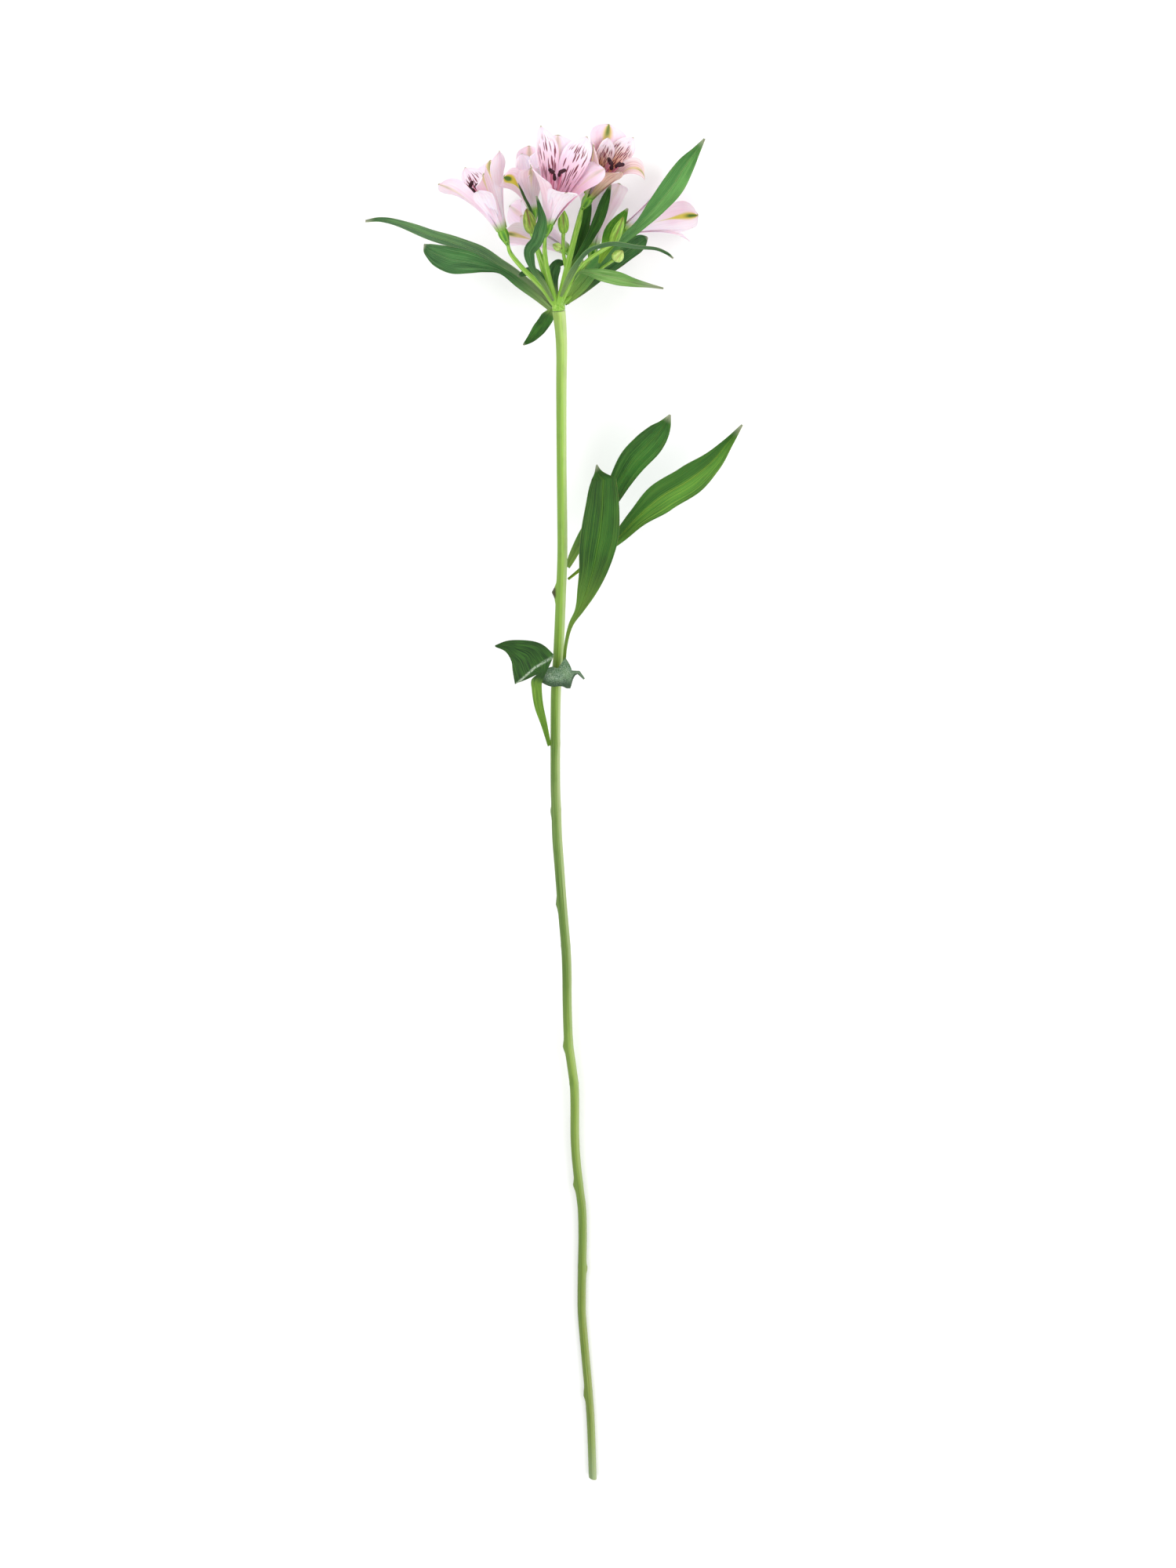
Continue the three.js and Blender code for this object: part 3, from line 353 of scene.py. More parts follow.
# Each leaf's paint, how high its waves are, and its stations from foot to tip: x, y, z, half width and,
# unless it is 0, its roll in degrees
LEAVES = {
    "leaf_low_left": ("flap", 0.2, (
        (-18.5, 410.4, 23, 0.9, 20), (-20.9, 420.9, 24.2, 1.5, 20), (-23.4, 431.6, 27, 2.2, 15),
        (-24.2, 440.5, 30, 2.4, 5), (-24, 445.1, 33, 2.6), (-21.7, 449.8, 36.6, 2),
        (-25.3, 452.7, 38.5, 11.6), (-28.5, 458.6, 39.5, 9.2), (-33.2, 461.2, 39.2, 5.6),
        (-38, 463.1, 38.5, 2.6), (-43.3, 462.7, 37, 0.4),
    )),
    "leaf_low_curl": ("curl", 0.2, (
        (-24.4, 450.5, 29.2, 0.5, 180), (-21.7, 447.9, 32, 3.2, 180), (-17.3, 447.1, 34.1, 4.8, 180),
        (-13.1, 446.7, 34.8, 4.6, 180), (-10.5, 448.9, 34.8, 7.4, 180), (-8.1, 446.8, 34.6, 5.4, 180),
        (-6.8, 448.9, 34, 1.5, 180), (-4.4, 449, 33.5, 0.9, 180), (-1.8, 445.8, 33, 0.4, 180),
    )),
    "leaf_mid_front": ("front", 0.5, (
        (-11.4, 450.6, 29.5, 0.8), (-10.4, 462, 31.5, 0.8), (-8, 472.1, 34, 1.1), (-4.2, 479.3, 36, 2),
        (-0.4, 490, 39, 4.6), (2.2, 499.4, 41.5, 6.4), (3.8, 508.1, 43, 8), (5.4, 517.4, 44, 8.7),
        (6.6, 530.1, 44, 7.7), (7.1, 541.9, 43.5, 5.8), (4.7, 544.2, 42, 2.3), (3.9, 547.8, 38, 0.3),
    )),
    "leaf_mid_right": ("middle", 0.7, (
        (-9.4, 493, 30, 0.6), (-3.3, 497.3, 27, 0.8), (4.4, 503.6, 26, 1.6), (14, 512, 27, 3),
        (23, 522.5, 31, 4.6), (34, 532.5, 34, 7.2), (46, 540, 35, 7.2), (56.5, 548.5, 34, 5),
        (64, 557, 32, 2.4), (70.5, 565, 30, 0.4),
    )),
    "leaf_mid_back": ("deep", 0.4, (
        (-10, 498.5, 27.6, 1.6, 30), (-6.2, 505.3, 24, 2.4, 30), (-1, 514, 21, 2.8, 20),
        (5, 521, 20, 3.2, 10), (10.2, 528.6, 20, 4, 5), (15.3, 538.4, 21, 5.2), (20.6, 547.6, 24.5, 6.4),
        (26.7, 554.5, 27, 6.6), (31.8, 560.4, 28.5, 5.4), (34.9, 564.2, 28, 3.2), (37.6, 569, 26, 0.4),
    )),
    "leaf_left_long": ("long", 0.3, (
        (-16, 619, 37, 1.5, 40), (-22, 624, 36, 3, 50), (-30, 631, 35, 3.5, 60), (-38.5, 636.5, 34, 4, 60),
        (-48.5, 642.5, 33, 4, 60), (-59.5, 646.5, 33, 4, 60), (-71.5, 650.5, 35, 4, 60),
        (-83, 655, 37, 3, 60), (-92, 657, 37, 1.5, 50), (-99, 656.5, 36, 0.5, 40),
    )),
    "leaf_left_broad": ("teal", 0.3, (
        (-17, 618.5, 40, 1), (-22.5, 623.5, 42, 1.5), (-30.5, 630, 44, 2), (-38, 635.5, 45, 1.5),
        (-45.5, 638, 45, 3), (-53, 639.5, 45, 5), (-60.5, 640.5, 44, 6, -10), (-67, 642.5, 42, 5, -20),
        (-71, 644.5, 39, 3, -30), (-73, 646.5, 37, 0.5, -30),
    )),
    "leaf_left_down": ("deep", 0.2, (
        (-16.2, 618, 34, 1), (-18.5, 613.5, 30, 3), (-21.5, 609, 27, 3), (-25.5, 604, 25, 2),
        (-29.5, 600.5, 24, 0.4),
    )),
    "leaf_right_big": ("large", 0.4, (
        (-10, 621, 36, 1.5), (-4, 628, 37, 3), (2.5, 636, 38, 3.2, 10), (9, 643.5, 40, 3.6, 40),
        (15.5, 650, 43, 3.4, 50), (22.5, 656, 46, 3.2, 40), (29.5, 663.5, 48, 4.2, 20), (37, 672.5, 49, 5),
        (42.5, 681, 48, 4), (47, 687, 46, 2), (51, 692.5, 44, 0.4),
    )),
    "leaf_right_low": ("fresh", 0.2, (
        (-11, 623.5, 41, 0.5), (-7.5, 630, 45, 0.5), (-4, 635, 48, 0.6), (0, 635.5, 49, 1.4),
        (5.5, 634.5, 50, 2.6), (12.5, 633, 50, 3), (20, 631, 49, 2), (27, 629.5, 47, 1),
        (33.5, 628, 45, 0.4),
    )),
    "leaf_right_arch": ("teal", 0.1, (
        (-12, 624.5, 45, 0.6), (-9, 632, 50, 1.4, 20), (-5, 640, 55, 2.4, 60), (-0.5, 645.5, 57, 2.6, 65),
        (5, 648, 58, 2.6, 65), (12, 649, 58, 2.6, 65), (20.5, 647.5, 57, 2.4, 65),
        (29.5, 646.5, 56, 1.6, 60), (34.5, 644.5, 55, 1, 50), (37.5, 642, 54, 0.4, 40),
    )),
    "leaf_back_right": ("teal", 0.2, (
        (-10.5, 620, 33, 1), (-2, 626.5, 32, 2), (7, 634.5, 32, 3), (15, 641.5, 34, 4),
        (20.5, 645.5, 34.5, 4), (24, 648, 34.5, 3), (26.5, 649.5, 34, 0.5),
    )),
    "leaf_center_front": ("teal", 0.2, (
        (-15.5, 622.5, 44, 0.6), (-19.5, 630.5, 52, 1.2, 20), (-24, 637.5, 58, 1.4, 30),
        (-25.5, 645, 61, 2.5, -20), (-22.5, 650, 63, 2.7, 10), (-21, 654.5, 63, 2.9, 20),
        (-20, 659.5, 65, 2, 10), (-21, 665, 66, 1), (-22.3, 669.5, 66.5, 0.4),
    )),
    "leaf_left_small": ("teal", 0.2, (
        (-16.5, 622, 40, 1), (-19.5, 628, 41, 1.6), (-22.5, 633, 42, 2.4, 10), (-26.5, 635, 41, 2),
        (-31.5, 632.5, 39, 0.4),
    )),
    "leaf_center_back": ("teal", 0.2, (
        (-14, 621, 30, 1), (-15.5, 628.5, 27, 2), (-15.5, 633.5, 25, 2.8), (-13.5, 637, 24, 2),
        (-10, 637, 23, 0.5),
    )),
    "bract_left": ("deep", 0, (
        (-23.8, 651.8, 41.2, 0.5, 60), (-25.2, 661.1, 46.2, 1.4, 70), (-28.1, 667.9, 51.7, 1.4, 70),
        (-30.5, 674, 55.2, 0.4, 70),
    )),
    "leaf_upper_center": ("deep", 0.1, (
        (-12, 627.5, 38, 0.8), (-7.7, 637.8, 37.5, 1.2), (-4.5, 646.2, 36.5, 2.4), (-2.6, 654.4, 35.8, 3.2),
        (-0.9, 662, 35.4, 2.6), (0.2, 667.3, 35.4, 1.2), (0.6, 670.4, 35.4, 0.4),
    )),
    "leaf_upper_right": ("deep", 0.1, (
        (-10, 633, 42, 0.6), (-4, 642, 41, 1.6, 30), (1, 650.3, 40, 2, 20), (5, 658.3, 39, 2.5),
        (7.5, 665.5, 38, 2.1), (10, 672.5, 36, 0.4),
    )),
    "bract_right": ("bright", 0.1, (
        (5, 639, 44, 0.6), (8, 646, 46, 2.5), (11, 652.5, 47.5, 4), (14, 657.5, 48, 3),
        (17.5, 663, 48, 0.4),
    )),
}

# For each bloom: the top of its ovary, the middle of its mouth, the way its back petal lies, its stalk,
# its petals (as PLAIN_PETAL says), where its stamens hang (degrees, millimetres, part of their length),
# how deep its throat is (0 pale, 1 rose, 2 tawny), how plain the keel of each outer petal is, how closely
# each inner petal is lined and how peach the outside of each outer petal is
BLOOMS = {
    "bloom_left": {
        "size": 0.94, "root": (-38.2, 654, 46.5), "mouth": (-47.7, 678.1, 49.5), "back": (0.26, 0.33, -0.91),
        "stalk": ((-15.2, 620.5, 39.5, 1.4), (-20, 628, 45, 1.3), (-28.5, 636.5, 47, 1.1), (-34, 643, 46.5, 1)),
        "outer": ((2, 50, 0.76), (127, 52, 0.83, 0, 34), (-150, 20, 0.84, 70, 50, 0.7)),
        "inner": ((42, 44, 0.8), (-72, 24, 0.84, 0, -40), (190, 52, 0.62, 0, 0, 0.8)),
        "bundle": (95, 6.2, 0.86),
        "throat": 0.35, "keels": (1.7, 0.3, 0.6), "lined": (1, 0.1, 0.3), "blush": (0.05, 0.1, 0.3),
    },
    "bloom_center": {
        "size": 1.12, "root": (-17, 657.8, 56), "mouth": (-10.7, 680.7, 66.7), "back": (-0.19, 0.42, -0.89),
        "stalk": ((-14.3, 621, 40, 1.3), (-17.5, 634, 46, 1.1), (-19, 643, 50, 1.1)),
        "outer": ((1, 50, 0.75), (108, 47, 0.66), (-83, 58, 0.68)),
        "inner": ((33, 40, 0.86), (-37, 46, 0.83), (175, 63, 0.65)),
        "bundle": (80, 3, 0.82),
        "throat": 0.6, "keels": (0.6, 0, 0.5), "lined": (1, 1, 0.4), "blush": (0.05, 0.25, 0.1),
    },
    "bloom_upper_right": {
        "size": 0.86, "root": (0.8, 667.9, 41.5), "mouth": (9.4, 682.7, 49.8), "back": (-0.08, 0.59, -0.8),
        "stalk": ((-13, 621, 40.5, 1.5), (-9.5, 636, 46, 1.4), (-6.5, 648, 44, 1.3), (-4, 657, 41, 1.3)),
        "outer": ((10, 44, 0.83, 0, 0, 1.45), (94, 28, 0.7), (-102, 27, 0.82, 110)),
        "inner": ((16, 20, 0.72), (-37, 42, 0.85), (192, 34, 0.66, 0, 0, 0.9)),
        "bundle": (-150, 2, 0.9),
        "throat": 2, "keels": (0.9, 0.5, 0.6), "lined": (1, 1, 0.5), "blush": (0.1, 0.85, 1),
    },
    "bloom_center_back": {
        "size": 0.78, "root": (-24.5, 663.1, 41.5), "mouth": (-25.7, 680, 48.6), "back": (-0.04, 0.17, -0.99),
        "stalk": ((-15, 620.5, 38.5, 1.2), (-20, 635.5, 41, 1.1), (-23.2, 647, 38, 1)),
        "outer": ((-4, 34, 0.75), (134, 60, 0.74, 0, 75), (183, 29, 0.74)),
        "inner": ((17, 27, 0.69), (-28, 28, 0.71), (-154, 30, 0.74)),
        "bundle": (0, 0, 0.5),
        "throat": 0.4, "keels": (0.8, 1.7, 0.4), "blush": (0.1, 0.3, 0.35),
    },
    "bloom_low_left": {
        "size": 0.84, "root": (-10.1, 642.5, 12.4), "mouth": (-24.8, 651.1, 13.8), "back": (0.29, 0.67, -0.68),
        "stalk": ((-14, 620, 36.8, 1.2), (-8.5, 627.5, 27, 1.1), (-3, 635, 22, 1.1)),
        "outer": ((36, 37, 0.91), (198, 34, 0.87), (-74, 39, 0.72)),
        "inner": ((8, 33, 0.83), (120, 36, 0.73), (-116, 31, 0.79)),
        "bundle": (180, 1.5, 0.7),
        "throat": 0.15, "keels": (0.5, 0.8, 0.5),
    },
    "bloom_right": {
        "size": 0.9, "root": (16.5, 652, 25.6), "mouth": (33.5, 659.5, 18.4), "back": (-0.55, 0.72, -0.42),
        "stalk": ((-12.3, 620, 37.2, 1.3), (-4, 627, 34, 1.1), (4, 639, 30, 1.1)),
        "outer": ((0, 34, 0.94), (138, 60, 0.86), (-120, 56, 0.92)),
        "inner": ((60, 36, 0.9), (180, 36, 0.8), (-60, 36, 0.92)),
        "bundle": (180, 1.5, 0.7),
        "throat": 0.15, "keels": (1, 1, 0.3),
    },
    "bloom_low_center": {
        "size": 0.86, "root": (2.5, 645, 20), "mouth": (6, 664.1, 19.8), "back": (0.13, -0.03, -0.99),
        "stalk": ((-13.2, 620.5, 36.8, 1.2), (-8, 629, 29, 1.1), (-3, 634, 24, 1.1)),
        "outer": ((12, 49, 0.83), (154, 52, 0.84), (-147, 39, 0.86)),
        "inner": ((34, 37, 0.87), (181, 39, 0.89), (-22, 37, 0.78)),
        "bundle": (180, 1.5, 0.8),
        "throat": 0.1, "keels": (0.2, 0.1, 0.1),
    },
}

# Degrees, how far out, and how long
STAMENS = (
    (20, 2.6, 0.93), (80, 2, 1), (140, 3, 1.04), (-20, 1.4, 0.86), (-80, 2.6, 0.97), (-140, 3.4, 1.09),
)

BUDS = {
    "bud_left": {
        "stalk": ((-17.5, 634, 45, 0.9), (-21, 643, 48, 0.8), (-24, 650, 50, 0.8), (-25, 652.5, 50, 0.9)),
        "tip": (-27, 663, 51), "radius": 2.9,
    },
    "bud_center": {
        "stalk": ((-9.5, 636, 46, 0.9), (-10.8, 643, 46, 0.8), (-11, 650, 45, 0.8), (-10.8, 652, 45, 0.9)),
        "tip": (-11.4, 663, 45.5), "radius": 2.5,
    },
    "bud_right": {
        "stalk": ((-12.3, 621, 40.2, 1.1), (-6, 633.5, 46, 1), (0.5, 641, 48, 0.9), (10.2, 647.5, 51, 0.8)),
        "tip": (15.5, 659.5, 52), "radius": 2.4,
    },
    "bud_small_left": {
        "stalk": ((-10.8, 643, 46, 0.7), (-12, 645.2, 46.3, 0.6)),
        "tip": (-15.6, 647.3, 46), "radius": 1.9,
    },
    "bud_small_right": {
        "stalk": ((-4, 627, 34, 0.8), (2, 631.6, 35, 0.7), (6.3, 636.4, 39.5, 0.7), (11.5, 640.4, 44.8, 0.7)),
        "tip": (15.3, 644.6, 46), "radius": 2.7,
    },
    "bud_dark": {
        "stalk": ((-8, 629, 29, 0.9), (-4.5, 640, 29.8, 0.8), (-1.2, 646, 30.6, 0.8)),
        "tip": (0.5, 655, 31.6), "radius": 2.1,
    },
}

NUB_SPREAD = 2.6
NUB_REACH = 9
SCAR_OFFSET = 1.2
SCAR_SPREAD = 0.7
SCAR_HEIGHT = 0.12
CUT_SLANT = 0.35
STEM_RINGS, STEM_SIDES = 300, 24

# Half width of an outer and an inner petal: (part of its length, millimetres)
OUTER_OUTLINE = (
    (0, 2.3), (0.2, 3.1), (0.45, 5.3), (0.65, 7.2), (0.8, 7.9), (0.9, 6.9), (0.96, 4.4), (0.985, 1.9),
    (1, 0.4),
)
INNER_OUTLINE = (
    (0, 1.8), (0.2, 2.3), (0.4, 3.8), (0.6, 5.6), (0.75, 6.2), (0.87, 5), (0.95, 2.7), (0.98, 1), (1, 0.3),
)
OUTER_LENGTH = 43
INNER_LENGTH = 42
OUTER_CLAW_RADIUS = 2.3
INNER_CLAW_RADIUS = 1.7
CLAW_LEAN = 14
PETAL_BEND = 1.5
CURL_FROM = 0.6
PETAL_THICKNESS = 0.3
PETAL_ROWS, PETAL_COLUMNS, PETAL_SLICES = 34, 14, 200
PETAL_START = -0.5
PETAL_EXTRA_REACH = 0.8
LEAF_THICKNESS = 0.36
LEAF_ROWS, LEAF_COLUMNS = 60, 14
CORNERED_ROWS_PER_STATION = 7
NARROWEST_LEAF = 0.3
OVARY_LENGTH = 7.5
OVARY_RADIUS = 2.2
CUP_DEPTH = 1.1
FILAMENT_LENGTH = 25
ANTHER_LENGTH = 3.6
ANTHER_RADIUS = 0.8

# The degrees, tip, length, curl, twist and width of a petal that gives no more than some of them
PLAIN_PETAL = (0, 0, 1, 0, 0, 1)

# The leaves of these paints keep their corners where an edge turns by more than this
CORNERED = ("flap", "curl", "front")
SHARP_CORNER = math.radians(48)

BUD_OUTLINE = ((0, 0.5), (0.14, 0.85), (0.38, 1), (0.66, 0.84), (0.88, 0.45), (1, 0.1))
# bud_dark takes darker greens: painted shade for a bud that lies in shade.
BUD_PAINTS = {
    "bud_left": "striped_bud", "bud_dark": "shade_darkened_bud",
    "bud_small_right": "pale_bud", "bud_small_left": "pale_bud",
}


# ---- Materials --------------------------------------------------------------------------------------

def stem_finish():
    """Yellow-green skin with fine lengthwise lines, deeper below the leaves and olive near the cut, with
    painted shade down one side and a painted highlight strip down the other.
    """
    finish = Finish("stem_skin", 0.12, 0.002, Specular_IOR_Level=0.3)
    across, height = finish.surface_place()
    skin = finish.ramp(height, (
        (0.0, "8C9A79"), (0.035, "788A47"), (0.07, "6A7720"), (0.16, "66771A"),
        (0.24, "607A19"), (0.33, "758D2D"), (0.4, "7A9733"), (0.46, "57741F"),
        (0.53, "4C6B1A"), (0.59, "5E7D32"), (0.63, "627B35"), (0.67, "527415"),
        (0.72, "6D9124"), (0.76, "83AC39"), (0.85, "8DB841"), (0.94, "91B844"),
        (1.0, "A9C862"),
    ))
    lines = finish.grain(across * 46, height * 14, detail=3)
    blotches = finish.grain(across * 3, height * 60, 4.0)
    colour = finish.mix(lines.between(0.3, 0.75) * 0.35, skin, "BEDD86")
    colour = finish.mix(blotches.between(0.5, 0.8) * 0.3, colour, "4A7016")
    # Painted light: one side of the stem is darkened as painted shade, and the other is paled as a painted
    # highlight strip that grows stronger higher up.
    facing_light = (across * (2 * math.pi) + lines * 0.5 - 0.25).math("SINE")
    colour = finish.mix((0 - facing_light).between(-0.1, 0.45) * 0.42, colour, "2E5206")
    pale = facing_light.between(0.05, 0.6) * (height.between(0.3, 0.7) * 0.24 + 0.2)
    colour = finish.mix(pale, colour, "CFDDA4")
    foot, head = STEM_PATH[0][1], STEM_PATH[-1][1]
    for y, degrees, rise in STEM_NUBS:
        if rise > 1:
            spot = across.bump((90 - degrees) % 360 / 360, 0.15)
            spot = spot * height.bump((y - foot) / (head - foot), 0.0075)
            colour = finish.mix(spot.between(0.1, 0.6) * 0.92, colour, "33280F")
    return finish.wear(colour, 0.34 + lines * 0.2, lines, 0.0002)


def cut_finish():
    """The cut end: pale green flesh."""
    finish = Finish("cut_flesh", 0.2, 0.001)
    across, _ = finish.surface_place()
    speckle = finish.grain(across * 30, across * 17, scale=3)
    return finish.wear(finish.mix(speckle, "C9D8A4", "8FA45E"), 0.6, speckle, 0.0001)


def stalk_finish(name, light, middle, dark):
    finish = Finish(name, 0.15, 0.0015, Specular_IOR_Level=0.3)
    across, height = finish.surface_place()
    lines = finish.grain(across * 16, height * 5, detail=3)
    patches = finish.grain(across * 3, height * 7, 2.0)
    colour = finish.mix(lines.between(0.35, 0.7), middle, light)
    colour = finish.mix(patches.between(0.5, 0.75) * 0.6, colour, dark)
    return finish.wear(colour, 0.36 + lines * 0.2, lines, 0.0002)


def ovary_finish():
    """Six pale ribs on a deep green ground."""
    finish = Finish("ovary_skin", 0.15, 0.0015)
    across, height = finish.surface_place()
    ribs = (across * 6).math("FRACT").bump(0.5, 0.4)
    grain = finish.grain(across * 20, height * 6)
    colour = finish.mix(ribs, "43801A", "86B834")
    colour = finish.mix(height.between(0.75, 1) * 0.5, colour, "7FC02E")
    return finish.wear(colour, 0.38, ribs * 0.6 + grain * 0.4, 0.0003)


def leaf_finish(
    name, light, middle, dark, under, gloss=0.42, base="9DC25A", base_reach=0.22, tip=0.92, painted_half_shade=0.0,
):
    """A blade with a pale midrib and lengthwise veins, paler and duller on its back."""
    finish = Finish(name, 0.08, 0.001, Specular_IOR_Level=0.22)
    across, height = finish.surface_place()
    back, _, seed, _ = finish.marks()
    sway = finish.grain(across * 3, height * 3, seed) - 0.5
    veins = ((across + sway * 0.05) * 13 + 0.5).math("FRACT").bump(0.5, 0.3)
    fine = finish.grain(across * 52, height * 3, seed, detail=3)
    mottle = finish.grain(across * 2.2, height * 5, seed, detail=4)
    off = (across - 0.5).math("ABSOLUTE")
    midrib = 1 - off.between(0.006, 0.03)
    colour = finish.mix(mottle.between(0.35, 0.7), dark, middle)
    colour = finish.mix(fine.between(0.4, 0.75) * 0.4, colour, light)
    colour = finish.mix(veins * fine.between(0.3, 0.6) * 0.22, colour, light)
    colour = finish.mix(midrib * 0.55, colour, light)
    # Painted shade: the half of the blade towards across 0 is darkened, as if turned away from the light.
    if painted_half_shade:
        colour = finish.mix((1 - across.between(0.36, 0.56)) * painted_half_shade, colour, dark)
    # The foot takes the base colour: yellow-green on most leaves, and a painted sheen on the long leaf.
    foot = (1 - height.between(0.0, base_reach)) * (fine.between(0.3, 0.6) * 0.4 + 0.45)
    colour = finish.mix(foot, colour, base)
    edge = 1 - (0.5 - off).between(0.0, 0.02)
    colour = finish.mix(edge * 0.25, colour, "A9C27A")
    colour = finish.mix(height.between(tip, 1) * 0.75, colour, "CCD2B2")
    bloom = finish.grain(across * 60, height * 60, seed, detail=3)
    pale = finish.mix(bloom.between(0.4, 0.7) * 0.3, under, "A9BFAE")
    pale = finish.mix(veins * 0.35, pale, "5E8A55")
    colour = finish.mix(back, colour, pale)
    roughness = gloss + fine * 0.15 + back * 0.2
    return finish.wear(colour, roughness, veins * 0.35 + fine * 0.35 - midrib * 0.8, 0.0004)


def flap_finish():
    """A narrow stalk that turns into a broad dark flap with a pale rolled rim where it widens; the last stretch
    of the stalk under the rim takes the dark flap colour as painted shadow.
    """
    finish = Finish("flap_leaf", 0.06, 0.001, Specular_IOR_Level=0.25)
    across, height = finish.surface_place()
    _, _, seed, _ = finish.marks()
    fine = finish.grain(across * 40, height * 6, seed, detail=3)
    speckle = finish.grain(across * 30, height * 90, seed, detail=4)
    stalk = finish.mix(fine.between(0.3, 0.7), "3D6C18", "80A83A")
    flap = finish.mix(fine.between(0.35, 0.75), "16380F", "3A6A22")
    # The dark flap colour begins at 0.36 to 0.46 of the length, on the stalk below the rim at 0.59; on that
    # stretch of stalk it is painted shadow.
    colour = finish.mix(height.between(0.36, 0.46), stalk, flap)
    rim = height.bump(0.59, 0.02) * (1 - across.between(0.55, 1) * 0.5)
    speckled = finish.mix(speckle.between(0.35, 0.65), "587E54", "CBD8C2")
    colour = finish.mix(rim * 0.9, colour, speckled)
    return finish.wear(colour, 0.46 + fine * 0.12, fine, 0.0003)


def curl_finish():
    """The curled leaf shows its dull back: grey-green with pale flecks, with painted shade along its lower
    edge.
    """
    finish = Finish("curled_leaf", 0.06, 0.001, Specular_IOR_Level=0.25)
    across, height = finish.surface_place()
    _, _, seed, _ = finish.marks()
    flecks = finish.grain(across * 60, height * 100, seed, detail=3)
    clouds = finish.grain(across * 3, height * 6, seed, detail=3)
    colour = finish.mix(flecks.between(0.42, 0.66), "2F5A35", "B4C8B0")
    colour = finish.mix(clouds.between(0.4, 0.7) * 0.4, colour, "6F9460")
    # Painted shade: the lower edge, towards across 0, is darkened.
    low = 1 - across.between(0.1, 0.5)
    high = across.between(0.62, 0.95)
    colour = finish.mix(low * 0.8, colour, "1A3B1C")
    colour = finish.mix(high * 0.5, colour, "3E6A38")
    return finish.wear(colour, 0.6, flecks, 0.0003)


def add_keel(finish, colour, across, height, outside, plain):
    """The keel of an outer petal: a thin yellow line that widens before the tip, with a green core."""
    off = (across - 0.5).math("ABSOLUTE")
    reach = off / ((height.between(0.45, 0.82) * 0.15 + 0.035) * (plain * 0.5 + 0.55))
    line = (1 - reach.between(0.35, 1)) * height.between(0.25, 0.6)
    colour = finish.mix(line * plain * (outside * 0.55 + 0.4), colour, "CFC03E")
    core = (1 - reach.between(0.05, 0.6)) * height.between(0.66, 0.82)
    return finish.mix(core * plain * (outside * 0.7 + 0.35), colour, "44701E")


def outer_petal_finish():
    """Pale pink, with a green claw, an olive keel outside and a green tip."""
    finish = Finish("outer_petal", 0.2, 0.0015, IOR=1.35, Sheen_Weight=0.1)
    across, height = finish.surface_place()
    inside, dyes, seed, depth = finish.marks()
    blush, plain = dyes.math("FRACT"), dyes.math("FLOOR") / 10
    rose, tawny = depth.between(0, 1), depth.between(1, 2)
    rose = rose * (1 - tawny * 0.75)
    veins = finish.grain(across * 26, height * 1.6, seed, detail=3)
    clouds = finish.grain(across * 1.6, height * 2.2, seed)
    colour = finish.mix(clouds.between(0.3, 0.7), "F7E9F4", "F0D3E6")
    colour = finish.mix(veins.between(0.45, 0.8) * 0.4, colour, "E3B4D2")
    outside = 1 - inside
    colour = finish.mix((1 - height.between(0.2, 0.75)) * outside * (rose * 0.22 + 0.12), colour, "E6A3C4")
    throat = inside * height.between(0.06, 0.2) * (1 - height.between(0.35, 0.8))
    colour = finish.mix(throat * rose * 0.7, colour, "E88FB2")
    peach = finish.mix(veins.between(0.35, 0.65), "E8C6B6", "C0907A")
    middle = 1 - (across - 0.5).math("ABSOLUTE").between(0.2, 0.5) * 0.45
    peach_part = height.between(0.05, 0.3) * (1 - height.between(0.84, 0.98) * 0.2) * middle
    colour = finish.mix(blush * (outside * 0.2 + 0.6) * peach_part, colour, peach)
    colour = add_keel(finish, colour, across, height, outside + tawny * 0.9, plain)
    colour = finish.mix(height.between(0.955, 0.99) * 0.8, colour, "7C8A30")
    colour = finish.mix((1 - height.between(0.1, 0.55)) * tawny * outside * 0.8, colour, "8E8448")
    claw = 1 - height.between(0.0, 0.13)
    colour = finish.mix(claw * 0.95, colour, "7EB032")
    return finish.wear(colour, 0.5 - veins * 0.08, veins * 0.6, 0.0003)


